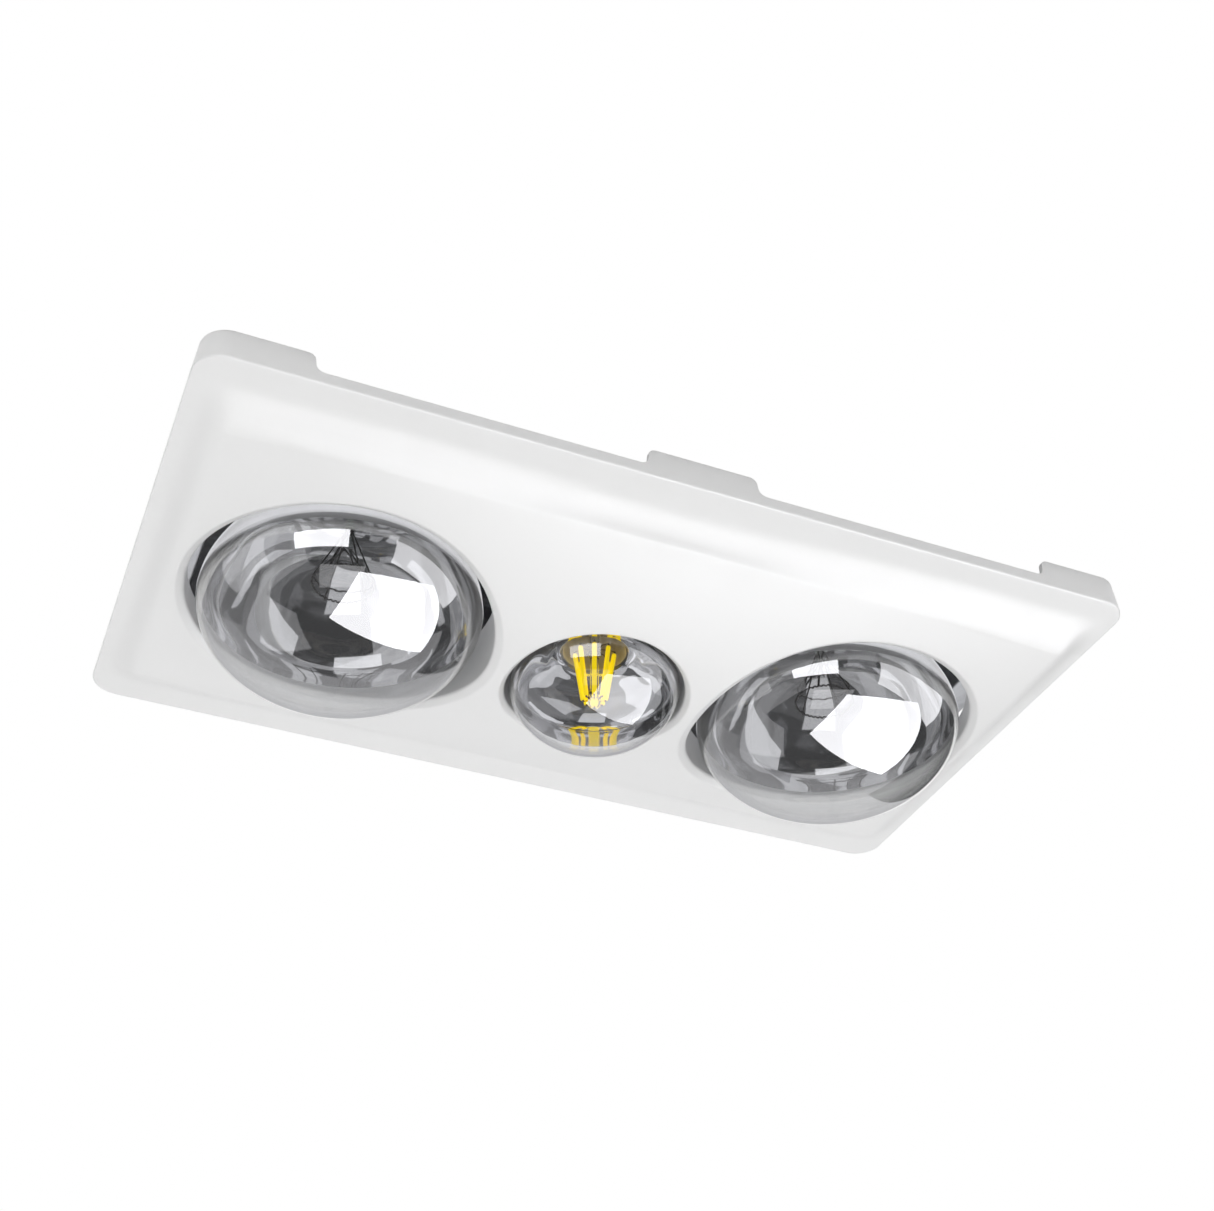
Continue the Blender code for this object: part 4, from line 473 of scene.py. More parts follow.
def crown_at(x, y):
    """How far the crowned band hangs below the brim."""
    along = 1 - min(abs(x) / HALF_LENGTH, 1.0) ** LONG_POWER
    across = 1 - min(abs(y) / CROWN_HALF, 1.0) ** CROSS_POWER
    return CROWN_EDGE + CROWN_RISE * along * across


def face_height(x, y):
    crease = crease_at(x)
    drop = crown_at(x, min(abs(y), crease))
    if abs(y) > crease:
        reach = min((abs(y) - crease) / (HALF_WIDTH - BRIM - crease), 1.0)
        hollow = 1 - ease(abs(x) / HOLLOW_HALF)
        drop *= hollow * (1 - reach) ** 3 + (1 - hollow) * (1 - ease(reach))
    return OUTLINE_Z - drop * ease((HALF_LENGTH - END_FLAT - abs(x)) / END_FALL)


print("lowest point of the face", round(face_height(0, 0) * 1000, 1), "mm")

# %% [markdown]
# The face is filled by a constrained triangulation: the outline, the three openings and both sides of
# each crease are given as fixed lines, and an even grid of points fills the rest. A grid alone would
# cut across the round openings, and a fan of long triangles would shade badly on a gentle crown.

# %% Fill between outline, openings and creases
Opening = namedtuple("Opening", "name x radius lip count")
OPENINGS = (
    Opening("left", -HEAT_X, 0.0728, 0.0038, 112),
    Opening("centre", 0.0, 0.0443, 0.0025, 84),
    Opening("right", HEAT_X, 0.0728, 0.0038, 112),
)
EDGE_ROLL, RIM_ROLL, TOP_ROLL = 0.0011, 0.0010, 0.0004
LIP_FOOT = 0.0034
CREASE_OFFSETS = (-0.0014, -0.0003, 0.0003, 0.0014)
CREASE_END, CREASE_SPANS = 0.206, 130
FACE_STEP, BACK_STEP, ROW_SHARE = 0.0034, 0.0062, 0.866
SLIVER, WELD = 1e-11, 1e-5


def crease_lines():
    lines = []
    for side in (-1, 1):
        for offset in CREASE_OFFSETS:
            xs = [CREASE_END * (2 * i / CREASE_SPANS - 1) for i in range(CREASE_SPANS + 1)]
            lines.append([(x, side * (crease_at(x) + offset)) for x in xs])
    return lines


def even_grid(step, edge, rim, crease):
    """Points of a triangular grid that keep their distance from outline, openings and creases."""
    points = []
    rows, columns = int(HALF_WIDTH / (step * ROW_SHARE)) + 1, int(HALF_LENGTH / step) + 1
    for j in range(-rows, rows + 1):
        for i in range(-columns, columns + 1):
            x, y = i * step + (step / 2 if j % 2 else 0), j * step * ROW_SHARE
            corner = (abs(x) - HALF_LENGTH + CORNER_RADIUS, abs(y) - HALF_WIDTH + CORNER_RADIUS)
            near_edge = abs(x) > HALF_LENGTH - edge or abs(y) > HALF_WIDTH - edge
            near_corner = min(corner) > 0 and hypot(*corner) > CORNER_RADIUS - edge
            near_rim = any(hypot(x - hole.x, y) < hole.radius + rim for hole in OPENINGS)
            near_crease = abs(x) < CREASE_END + 0.001 and abs(abs(y) - crease_at(x)) < crease
            if not (near_edge or near_corner or near_rim or near_crease):
                points.append((x, y))
    return points


def fill_face(shape, inset, widen, lines, step, height):
    """Triangles between the outline and the openings, lifted to a height."""
    loops = [[(x - nx * inset, y - ny * inset) for x, y, nx, ny, _ in stations]]
    for hole in OPENINGS:
        loops.append([(x, y) for x, y, _ in circle(hole.radius + widen, 0, hole.count, hole.x)])
    points, edges = [], []
    for loop in loops:
        start = len(points)
        points += loop
        edges += [(start + i, start + (i + 1) % len(loop)) for i in range(len(loop))]
    for line in lines:
        start = len(points)
        points += line
        edges += [(start + i, start + i + 1) for i in range(len(line) - 1)]
    points += even_grid(step, inset + step * 0.55, widen + step * 0.55, CREASE_OFFSETS[-1] + step * 0.45)
    flat, _, triangles, _, _, _ = delaunay_2d_cdt([Vector(p) for p in points], edges, [], 0, 1e-7)
    placed = [shape.verts.new((p.x, p.y, height(p.x, p.y))) for p in flat]
    kept = 0
    for corners in triangles:
        a, b, c = (flat[i] for i in corners)
        x, y = (a.x + b.x + c.x) / 3, (a.y + b.y + c.y) / 3
        in_opening = any(hypot(x - hole.x, y) < hole.radius + widen - 0.00005 for hole in OPENINGS)
        if not in_opening and abs((b - a).cross(c - a)) / 2 > SLIVER:
            shape.faces.new([placed[i] for i in corners])
            kept += 1
    return kept


print("openings:", ", ".join(f"{hole.name} {hole.radius * 2000:.0f} mm" for hole in OPENINGS))

# %% [markdown]
# ## The fascia: rims, skirt and wall
#
# A moulding is a thin wall, so the mesh has an outer and an inner side. A profile is carried round
# every station for the skirt, and round every opening for its lip and the collar behind it. Each
# profile starts and ends on points that the filled faces already have, so one weld closes the shell.

# %% Carry profiles round the outline and the openings
def curve_between(first, corner, last, steps):
    """A soft corner: points of a quadratic curve after the first point."""
    made = []
    for i in range(1, steps + 1):
        t = i / steps
        weights = ((1 - t) ** 2, 2 * t * (1 - t), t * t)
        made.append(tuple(sum(w * p[k] for w, p in zip(weights, (first, corner, last))) for k in (0, 1)))
    return made


def skirt_profile(top):
    """(inset, height) from the face's edge, up the skirt, over its edge and down inside."""
    def lean(z):
        return SKIRT_DRAFT * (z - OUTLINE_Z) / -OUTLINE_Z

    low = OUTLINE_Z + EDGE_ROLL
    profile = [(EDGE_ROLL, OUTLINE_Z)]
    profile += curve_between((EDGE_ROLL, OUTLINE_Z), (0, OUTLINE_Z), (lean(low), low), 4)
    high = top - TOP_ROLL
    profile += [(lean(z), z) for z in (low + (high - low) * i / 5 for i in range(1, 6))]
    over = lean(top)
    profile += curve_between((lean(high), high), (over, top), (over + TOP_ROLL, top), 3)
    inner = over + FASCIA_WALL
    profile.append((inner - TOP_ROLL, top))
    profile += curve_between((inner - TOP_ROLL, top), (inner, top), (inner, high), 3)
    floor = OUTLINE_Z + FASCIA_WALL + EDGE_ROLL
    profile += [(lean(z) + FASCIA_WALL, z) for z in (high + (floor - high) * i / 3 for i in range(1, 4))]
    last = (FASCIA_WALL + EDGE_ROLL, OUTLINE_Z + FASCIA_WALL)
    profile += curve_between(profile[-1], (FASCIA_WALL, last[1]), last, 3)
    return profile


def lip_profile(x, radius, lip, angle):
    """(radius, height) from the face round the rim, up the lip and collar, and down behind it."""
    def at(r):
        return face_height(x + r * cos(angle), r * sin(angle))

    rim, inner, top = at(radius), radius - lip, OUTLINE_Z + 0.002
    shoulder = rim + 0.0024
    start = (radius + RIM_ROLL, at(radius + RIM_ROLL))
    on_lip = (radius - lip * 0.2, rim + 0.0006)
    profile = [start] + curve_between(start, (radius, rim), on_lip, 5)
    below = (inner + lip * 0.25, shoulder - 0.0006)
    profile += [((on_lip[0] + below[0]) / 2, (on_lip[1] + below[1]) / 2), below]
    profile += curve_between(below, (inner, shoulder), (inner, shoulder + 0.0010), 3)
    profile += [(inner, top - TOP_ROLL)]
    profile += curve_between(profile[-1], (inner, top), (inner + TOP_ROLL, top), 2)
    outer = inner + 0.002
    profile += [(outer - TOP_ROLL, top), (outer, top - TOP_ROLL), (outer, shoulder + 0.0028)]
    foot = radius + LIP_FOOT
    bend_at = (radius - 0.0008, at(radius) + FASCIA_WALL)
    return profile + curve_between(profile[-1], bend_at, (foot, at(foot) + FASCIA_WALL), 3)


def bridge_rings(shape, rings):
    """Quads between neighbouring rings, closed round."""
    for lower, upper in zip(rings, rings[1:]):
        for i in range(len(lower)):
            j = (i + 1) % len(lower)
            shape.faces.new((lower[i], lower[j], upper[j], upper[i]))


def carry_skirt(shape):
    profiles = [skirt_profile(station[4]) for station in stations]
    rings = []
    for row in range(len(profiles[0])):
        ring = []
        for (x, y, nx, ny, _), profile in zip(stations, profiles):
            inset, z = profile[row]
            ring.append(shape.verts.new((x - nx * inset, y - ny * inset, z)))
        rings.append(ring)
    bridge_rings(shape, rings)


def carry_lip(shape, hole):
    x, angles = hole.x, [2 * pi * i / hole.count for i in range(hole.count)]
    profiles = [lip_profile(x, hole.radius, hole.lip, a) for a in angles]
    rings = []
    for row in range(len(profiles[0])):
        ring = [(*profile[row], a) for a, profile in zip(angles, profiles)]
        rings.append([shape.verts.new((x + r * cos(a), r * sin(a), z)) for r, z, a in ring])
    bridge_rings(shape, rings)


def shade(shape, sharp=38):
    """Smooth shading that keeps every edge sharper than this many degrees."""
    shape.normal_update()
    for face in shape.faces:
        face.smooth = True
    for edge in shape.edges:
        if len(edge.link_faces) == 2:
            edge.smooth = edge.calc_face_angle(0) < radians(sharp)


def settle(name, node, finish, mesh, body="housing", slot=None, place=(0, 0, 0)):
    """Put a mesh in the scene: it rides on a body, takes a finish and stands in for a node.

    The slot argument is not used."""
    piece = bpy.data.objects.new(name, mesh)
    piece.location = place
    piece.data.materials.append(finish)
    scene.collection.objects.link(piece)
    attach(piece, body)
    if node:
        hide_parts(node)
    return piece


def new_piece(name, node, finish, shape, sharp=38, **where):
    """Shade a bmesh and settle it."""
    bmesh.ops.recalc_face_normals(shape, faces=shape.faces)
    shade(shape, sharp)
    mesh = bpy.data.meshes.new(name)
    shape.to_mesh(mesh)
    shape.free()
    return settle(name, node, finish, mesh, **where)


def report(what, piece):
    print(what, [round(v * 1000, 1) for v in piece.dimensions], "mm")


print("profile of the skirt at a tab has", len(skirt_profile(0.0)), "points")

# %% White moulding
# Satin white plastic: a hardly visible spark-eroded grain and a faint drift in gloss.
white_moulding = new_finish("white_moulding", (0.865, 0.865, 0.862), 0.42, IOR=1.5)
tint(white_moulding, noise(white_moulding, 9.0, 2.0), (0.862, 0.862, 0.858), (0.872, 0.872, 0.870))
vary_roughness(white_moulding, noise(white_moulding, 60.0), 0.38, 0.48)
bump(white_moulding, noise(white_moulding, 2400.0, 2.0), 0.00002, 0.5)
print("white moulding ready")

# %% Build the fascia
def fascia_shell():
    shape = bmesh.new()
    outside = fill_face(shape, EDGE_ROLL, RIM_ROLL, crease_lines(), FACE_STEP, face_height)
    inside = fill_face(shape, FASCIA_WALL + EDGE_ROLL, LIP_FOOT, [], BACK_STEP,
                       lambda x, y: face_height(x, y) + FASCIA_WALL)
    carry_skirt(shape)
    for hole in OPENINGS:
        carry_lip(shape, hole)
    bmesh.ops.remove_doubles(shape, verts=shape.verts, dist=WELD)
    open_edges = sum(not edge.is_manifold for edge in shape.edges)
    print(outside, "and", inside, "triangles in the two faces;", open_edges, "open edges")
    return new_piece("fascia_shell", "fascia", white_moulding, shape, 50, body="fascia")


report("fascia", fascia_shell())

# %% [markdown]
# ## The heat lamps: glass
#
# A reflector lamp is one blown envelope: a clear dome in front, a silvered bowl behind it, and a
# neck that ends in the cap. A sphere scaled flat would miss the bowl, so the whole outline is drawn
# once and turned about the axis, first for the glass with its thickness and then for the silver that
# lies on its inside. Small profiles are written in millimetres, as a turner's drawing has them.

# %% Profiles and turning
def mm(*points, up=0.0):
    """Profile points (radius, height) given in millimetres and raised by metres."""
    return [(r / 1000, up + z / 1000) for r, z in points]


def offset_line(line, distance):
    """The line moved to its left side, away from the outside of a turned shape."""
    moved = []
    for i, (r, z) in enumerate(line):
        before, after = line[max(i - 1, 0)], line[min(i + 1, len(line) - 1)]
        dr, dz = after[0] - before[0], after[1] - before[1]
        size = hypot(dr, dz)
        moved.append((max(r - dz / size * distance, 0.0), z + dr / size * distance))
    moved[0] = (0.0 if line[0][0] < 1e-6 else moved[0][0], moved[0][1])
    return moved


def turned(shape, line, count, closed=False):
    """Turn a line of (radius, height) about Z. Points on the axis become one vertex."""
    rings = []
    for r, z in line:
        points = [(0, 0, z)] if r < 1e-6 else circle(r, z, count)
        rings.append([shape.verts.new(point) for point in points])
    for lower, upper in zip(rings, rings[1:] + rings[:1] if closed else rings[1:]):
        for i in range(count):
            j = (i + 1) % count
            if len(lower) == 1 and len(upper) == 1:
                continue
            if len(lower) == 1:
                shape.faces.new((lower[0], upper[j], upper[i]))
            elif len(upper) == 1:
                shape.faces.new((lower[i], lower[j], upper[0]))
            else:
                shape.faces.new((lower[i], lower[j], upper[j], upper[i]))


def turned_piece(name, node, finish, line, count, closed=False, sharp=38, **where):
    shape = bmesh.new()
    turned(shape, line, count, closed)
    return new_piece(name, node, finish, shape, sharp, **where)


# %% Envelope outlines
Lamp = namedtuple("Lamp", "body place radius dome neck widest bowl")
GLASS_WALL, SILVER_GAP, NECK_END = 0.0012, 0.00012, 0.0118
HEAT_SIZES = (0.0636, 0.0358, 0.100, 0.0060, ((0.955, 0.185), (0.79, 0.37), (0.45, 0.64), (0.3, 0.92)))
CENTRE_BOWL = ((0.93, 0.205), (0.80, 0.295), (0.57, 0.39), (0.41, 0.47), (0.37, 0.76), (0.3, 0.94))
LAMPS = {
    "left": Lamp("left_heat_lamp", (-HEAT_X, 0, -0.0331), *HEAT_SIZES),
    "right": Lamp("right_heat_lamp", (HEAT_X, 0, -0.0331), *HEAT_SIZES),
    "centre": Lamp("centre_lamp", (0, 0, -0.041), 0.040, 0.026, 0.052, 0.0058, CENTRE_BOWL),
}


def through(points, steps, before):
    """A smooth line through the points, with steps pieces in each span."""
    padded = [before] + list(points) + [points[-1]]
    line = [points[0]]
    for k in range(1, len(padded) - 2):
        a, b, c, d = padded[k - 1 : k + 3]
        for i in range(1, steps + 1):
            t = i / steps
            line.append(tuple(
                0.5 * (2 * q + (r - p) * t + (2 * p - 5 * q + 4 * r - s) * t**2
                       + (3 * q - p - 3 * r + s) * t**3)
                for p, q, r, s in zip(a, b, c, d)
            ))
    return line


def bowl_line(lamp):
    """The bowl from its widest place up to the neck, leaving the dome without a kink."""
    marks = [(lamp.radius, lamp.widest)]
    marks += [(max(lamp.radius * r, NECK_END), lamp.neck * z) for r, z in lamp.bowl]
    marks.append((NECK_END, lamp.neck - 0.0006))
    return through(marks, 7, (lamp.radius, lamp.widest - (marks[1][1] - lamp.widest)))


def dome_line(lamp, steps=24):
    """The dome from its pole up to the widest place."""
    angles = [pi / 2 * i / steps for i in range(steps + 1)]
    height = lamp.dome + lamp.widest
    return [(lamp.radius * sin(a), lamp.widest - height * cos(a)) for a in angles]


print("bowl of a heat lamp has", len(bowl_line(LAMPS["left"])), "rows")

# %% [markdown]
# Clear glass needs one extra step. A renderer treats glass as solid to the rays that look for lamps,
# so everything behind it would sit in the dark. Mixing in a Transparent shader for those rays alone
# lets the light through while the eye still sees glass.

# %% Glass and silver
def clear_glass_finish(name, tone, coat_ior):
    finish = new_finish(name, tone, 0.0, IOR=1.47, Transmission_Weight=1.0, Coat_Weight=1.0,
                        Coat_Roughness=0.01, Coat_IOR=coat_ior)
    bump(finish, noise(finish, 14.0, 1.0), 0.0004, 0.05)
    for_light = add(finish, "LightPath").outputs["Is Shadow Ray"]
    clear = add(finish, "BsdfTransparent", Color=(0.96, 0.97, 0.97, 1))
    show(finish, blend(finish, for_light, principled(finish), clear))
    return finish


lamp_glass = clear_glass_finish("lamp_glass", (0.99, 0.995, 0.995), 1.9)
small_lamp_glass = clear_glass_finish("small_lamp_glass", (0.985, 0.99, 0.995), 1.4)

# Evaporated silver on blown glass is a mirror that wavers slightly.
SILVER = (0.90, 0.90, 0.91)
silvering = new_finish("lamp_silvering", SILVER, 0.03, Metallic=1.0)
tint(silvering, noise(silvering, 30.0, 2.0), SILVER, [v * 0.93 for v in SILVER])
vary_roughness(silvering, noise(silvering, 45.0, 2.0), 0.02, 0.06)
bump(silvering, noise(silvering, 26.0, 1.0), 0.0012, 0.16)
print("glass and silver ready")

# %% Build the glasses and their silvering
FRONT_OF_ROOM = radians(67.5)


def lamp_envelope(name, node, lamp, glass):
    outer = dome_line(lamp) + bowl_line(lamp)[1:] + [(NECK_END, lamp.neck + 0.0078)]
    line = offset_line(outer, GLASS_WALL) + outer[::-1]
    turned_piece(name, node, glass, line, 112, sharp=60, body=lamp.body, slot="lamp_glass",
                 place=lamp.place)


def walk(line, share):
    """The point at a share of a line's length."""
    lengths = [hypot(q[0] - p[0], q[1] - p[1]) for p, q in zip(line, line[1:])]
    left = share * sum(lengths)
    for p, q, length in zip(line, line[1:], lengths):
        if left <= length:
            part = left / length
            return (p[0] + (q[0] - p[0]) * part, p[1] + (q[1] - p[1]) * part)
        left -= length
    return line[-1]


def lamp_silver(name, lamp, start, lean, neck_radius, rows=44, count=112):
    """The silver skin just inside the glass, from the dome's shoulder up to the neck.

    Its lower edge lies at start, and leans up by lean towards the front of the room."""
    outline = offset_line(dome_line(lamp, 60) + bowl_line(lamp)[1:], GLASS_WALL + SILVER_GAP)
    shape = bmesh.new()
    loops = []
    for i in range(count):
        low = start - lean * cos(2 * pi * i / count - FRONT_OF_ROOM)
        line = [(r, z) for r, z in outline if z >= low and r >= neck_radius]
        front = [walk(line, k / rows) for k in range(rows + 1)]
        loops.append(front + offset_line(front, 0.00008)[::-1])
    skins = []
    for k in range(len(loops[0])):
        turns = [(2 * pi * i / count, *loop[k]) for i, loop in enumerate(loops)]
        skins.append([shape.verts.new((r * cos(a), r * sin(a), z)) for a, r, z in turns])
    bridge_rings(shape, skins + [skins[0]])
    new_piece(name, None, silvering, shape, 70, body=lamp.body, slot="lamp_glass", place=lamp.place)
    return loops[0][rows]


HEAT_LAMPS = [(side, LAMPS[side]) for side in ("left", "right")]
for side, lamp in HEAT_LAMPS:
    lamp_envelope(f"heat_lamp_envelope_{side}", f"heat_lamp_glass_{side}", lamp, lamp_glass)
    end = lamp_silver(f"heat_lamp_silver_{side}", lamp, start=0.0056, lean=0.0, neck_radius=0.0185)
lamp_envelope("centre_lamp_envelope", "centre_lamp_glass", LAMPS["centre"], small_lamp_glass)
lamp_silver("centre_lamp_silver", LAMPS["centre"], start=0.0, lean=0.0068, neck_radius=0.0153)
print("heat lamp silver ends at radius", round(end[0] * 1000, 1), "mm")

# %% [markdown]
# Above the silver the neck is bare, and what shows through it is the tan coating that keeps the heat
# off the cap. It is one more turned skin, matt and slightly uneven.

# %% Neck coats
neck_coat = new_finish("neck_coat", (0.80, 0.74, 0.64), 0.55, IOR=1.45)
tint(neck_coat, noise(neck_coat, 120.0, 4.0), (0.66, 0.58, 0.46), (0.90, 0.86, 0.78))
bump(neck_coat, noise(neck_coat, 260.0), 0.0003, 0.6)


def lamp_neck_coat(name, lamp, widest):
    line = offset_line(bowl_line(lamp), GLASS_WALL + SILVER_GAP)
    line = [(r, z) for r, z in line if r < widest and z < lamp.neck - 0.004]
    inner = [(line[0][0] - 0.0004, line[0][1] + 0.0003)] + [(r - 0.0003, z) for r, z in line[1:]]
    turned_piece(name, None, neck_coat, line + inner[::-1], 64, closed=True, body=lamp.body,
                 slot="lamp_glass", place=lamp.place)


for side, lamp in HEAT_LAMPS:
    lamp_neck_coat(f"heat_lamp_neck_{side}", lamp, 0.0184)
lamp_neck_coat("centre_lamp_neck", LAMPS["centre"], 0.0152)
print("neck coats of", len(LAMPS), "lamps")

# %% [markdown]
# ## Inside the lamps
#
# The heat lamps carry a ring of thin wire on four supports. The light in the middle has eight yellow
# sticks: chains of small diodes under a skin of phosphor. Wires and sticks are all thin round bars, so
# one helper that carries a circle along a line makes them. Curve objects would do too, but a mesh
# exports the same everywhere.

# %% Wires
COIL_WIRE, LEAD_WIRE, SUPPORT_WIRE, SPOKE_WIRE, STICK_WIRE = 0.0004, 0.0006, 0.00038, 0.00022, 0.0005


def along(shape, points, radii, sides=8):
    """Carry a circle along the points; radii is one number or one for each point."""
    points = [Vector(p) for p in points]
    if not isinstance(radii, (list, tuple)):
        radii = [radii] * len(points)
    rings, across = [], None
    for i, point in enumerate(points):
        way = (points[min(i + 1, len(points) - 1)] - points[max(i - 1, 0)]).normalized()
        if across is None:
            across = way.orthogonal().normalized()
        across = (across - way * across.dot(way)).normalized()
        other = way.cross(across)
        ways = [across * cos(a) + other * sin(a) for a in (2 * pi * k / sides for k in range(sides))]
        rings.append([shape.verts.new(point + way_out * radii[i]) for way_out in ways])
    bridge_rings(shape, rings)
    shape.faces.new(rings[0][::-1])
    shape.faces.new(rings[-1])


def on_circle(radius, degrees_round, z):
    a = radians(degrees_round)
    return (radius * cos(a), radius * sin(a), z)


def spokes(shape, inner, outer):
    """Eight straight wires that run out from the stem: inner and outer are (radius, height)."""
    for k in range(8):
        a = pi / 8 + 2 * pi * k / 8
        ends = [(r * cos(a), r * sin(a), z) for r, z in (inner, outer)]
        middle = [(p + q) / 2 for p, q in zip(*ends)]
        middle[2] += 0.0006
        along(shape, [ends[0], middle, ends[1]], SPOKE_WIRE, 6)


print("wires of", len({COIL_WIRE, LEAD_WIRE, SUPPORT_WIRE, SPOKE_WIRE, STICK_WIRE}), "sizes")

# %% Wire, stem and phosphor finishes
filament_wire = new_finish("filament_wire", (0.16, 0.155, 0.15), 0.42, Metallic=1.0)
tint(filament_wire, noise(filament_wire, 700.0), (0.09, 0.085, 0.08), (0.26, 0.25, 0.24))
stem_glass = clear_glass_finish("stem_glass", (0.90, 0.95, 0.92), 1.52)
# The phosphor's emission is a painted glow: the sticks shine bright yellow though the lamp is off.
led_phosphor = new_finish("led_phosphor", (1.0, 0.76, 0.01), 0.38, IOR=1.42,
                          Emission_Color=(1.0, 0.74, 0.0, 1), Emission_Strength=0.7)
tint(led_phosphor, noise(led_phosphor, 900.0, 2.0), (1.0, 0.70, 0.005), (1.0, 0.84, 0.03))
bump(led_phosphor, noise(led_phosphor, 1500.0, 2.0), 0.0001, 0.5)
print("three finishes for the lamps' insides")

# %% Heat lamp insides
STEM_LOW, RING_RADIUS, RING_HEIGHT, COILS = 0.052, 0.014, 0.020, 160


def stem_line(neck, low, knob, collars):
    """A flare sealed in the neck, a rod with thin collars, and a knob at its lower end."""
    line = mm((0, 7.7), (9.9, 7.7), (10.3, 7.2), (9.6, 6.3), (6.386, 4.1), (4.326, 1.3), (3.3, -1.3),
              up=neck)
    for height in collars:
        line += mm((2.1, 1.6), (3.2, 0.6), (3.2, -0.6), (2.1, -1.6), up=height)
    line.append((0.0022, low + knob * 2.1))
    turns = [radians(a) for a in (40, 60, 80, 100, 125, 150)]
    return line + [(knob * sin(a), low + knob + knob * cos(a)) for a in turns] + [(0, low)]


def heat_lamp_inside(side, lamp):
    where = {"body": lamp.body, "place": lamp.place}
    line = stem_line(lamp.neck, STEM_LOW, 0.0032, (0.078,))
    turned_piece(f"heat_lamp_mount_{side}", f"heat_lamp_stem_{side}", stem_glass, line, 32, **where)
    shape = bmesh.new()
    ring = [on_circle(RING_RADIUS, -130 + 360 * i / COILS, RING_HEIGHT) for i in range(COILS + 1)]
    coiled = []
    for i, (x, y, z) in enumerate(ring):
        swell = 1 + 0.028 * cos(i * pi / 2)
        coiled.append((x * swell, y * swell, z + 0.0004 * sin(i * pi / 2)))
    along(shape, coiled, COIL_WIRE, 6)
    for end, way in ((ring[0], -1), (ring[-1], 1)):
        knee = (end[0] * 0.45, end[1] * 0.55, RING_HEIGHT + 0.018)
        ankle = (end[0] * 0.85, end[1] * 0.9, RING_HEIGHT + 0.006)
        along(shape, [(way * 0.0016, -0.0006, STEM_LOW - 0.0004), knee, ankle, end], LEAD_WIRE)
    for turn in (-50, 30, 110, 190):
        marks = [(0.0011, STEM_LOW - 0.0002), (0.009, RING_HEIGHT + 0.013)]
        marks += [(RING_RADIUS, RING_HEIGHT + 0.0012), (RING_RADIUS * 1.05, RING_HEIGHT - 0.0014)]
        along(shape, [on_circle(r, turn, z) for r, z in marks], SUPPORT_WIRE, 6)
    new_piece(f"heat_lamp_wires_{side}", f"heat_lamp_filament_{side}", filament_wire, shape, 60, **where)


for side, lamp in HEAT_LAMPS:
    heat_lamp_inside(side, lamp)
print("heating ring", RING_RADIUS * 2000, "mm across")

# %% Centre lamp inside
STICK_TOP, STICK_FOOT = (0.0093, 0.0224), (0.0052, -0.0035)
STICK_RADII = [0.0006, 0.00098, 0.00112, 0.00112, 0.00098, 0.0006]


def centre_lamp_inside():
    lamp = LAMPS["centre"]
    where = {"body": lamp.body, "place": lamp.place}
    line = stem_line(lamp.neck, -0.0082, 0.0030, (0.0224, 0.0005))
    turned_piece("centre_lamp_mount", "centre_lamp_stem", stem_glass, line, 40, **where)
    sticks, wires = bmesh.new(), bmesh.new()
    for k in range(8):
        turn = 45 * (k + 0.5)
        top = Vector(on_circle(STICK_TOP[0], turn, STICK_TOP[1] + 0.0004))
        foot = Vector(on_circle(STICK_FOOT[0], turn, STICK_FOOT[1]))
        way = (top - foot).normalized()
        marks = [foot + way * rise for rise in (0, 0.0003, 0.0009)]
        along(sticks, marks + [top - way * drop for drop in (0.0009, 0.0003, 0)], STICK_RADII, 14)
        along(wires, [top - way * 0.0006, top + way * 0.0012], STICK_WIRE)
        along(wires, [foot + way * 0.0006, foot - way * 0.0007], STICK_WIRE)
    spokes(wires, (0.0022, STICK_TOP[1] + 0.0030), (STICK_TOP[0] + 0.0004, STICK_TOP[1] + 0.0016))
    spokes(wires, (0.0020, STICK_FOOT[1] - 0.0012), (STICK_FOOT[0] - 0.0001, STICK_FOOT[1] - 0.0006))
    new_piece("centre_lamp_sticks", "centre_lamp_led_filaments", led_phosphor, sticks, 60, **where)
    new_piece("centre_lamp_wires", None, filament_wire, wires, 60, **where)


centre_lamp_inside()
print("eight sticks", round((STICK_TOP[1] - STICK_FOOT[1]) * 1000, 1), "mm tall")

# %% [markdown]
# ## Cutting and joining
#
# The housing's pieces are blocks, bars and pressings with holes. They are made as on a bench: start
# with stock, join what is welded on, cut what is drilled out, then break the edges. Booleans leave
# edges that catch no light, so a narrow bevel follows, and weighted normals keep the flats flat.

# %% Bench helpers
def working(shape):
    """A loose object to cut and join; it is gone once the piece is made."""
    mesh = bpy.data.meshes.new("stock")
    bmesh.ops.recalc_face_normals(shape, faces=shape.faces)
    for face in shape.faces:
        face.smooth = True
    shape.to_mesh(mesh)
    shape.free()
    stock = bpy.data.objects.new("stock", mesh)
    scene.collection.objects.link(stock)
    return stock


def block(corner, opposite):
    shape = bmesh.new()
    bmesh.ops.create_cube(shape, size=1)
    for vertex in shape.verts:
        vertex.co = [(a + b) / 2 + c * abs(b - a) for a, b, c in zip(corner, opposite, vertex.co)]
    return working(shape)


def bar(radius, start, end, sides):
    shape = bmesh.new()
    along(shape, [start, end], radius, sides)
    return working(shape)


def upright(radius, x, y, low, high, sides=24):
    """An upright bar: a hole's cutter, a pillar or a pin."""
    return bar(radius, (x, y, min(low, high)), (x, y, max(low, high)), sides)


def lathe(line, x, y, count, closed=False):
    shape = bmesh.new()
    turned(shape, line, count, closed)
    bmesh.ops.translate(shape, vec=(x, y, 0), verts=shape.verts)
    return working(shape)


def add_prism(shape, outline, low, high):
    """A slab with the given outline, seen from above."""
    rings = [[shape.verts.new((x, y, z)) for x, y in outline] for z in (low, high)]
    bridge_rings(shape, rings)
    shape.faces.new(rings[0][::-1])
    shape.faces.new(rings[1])


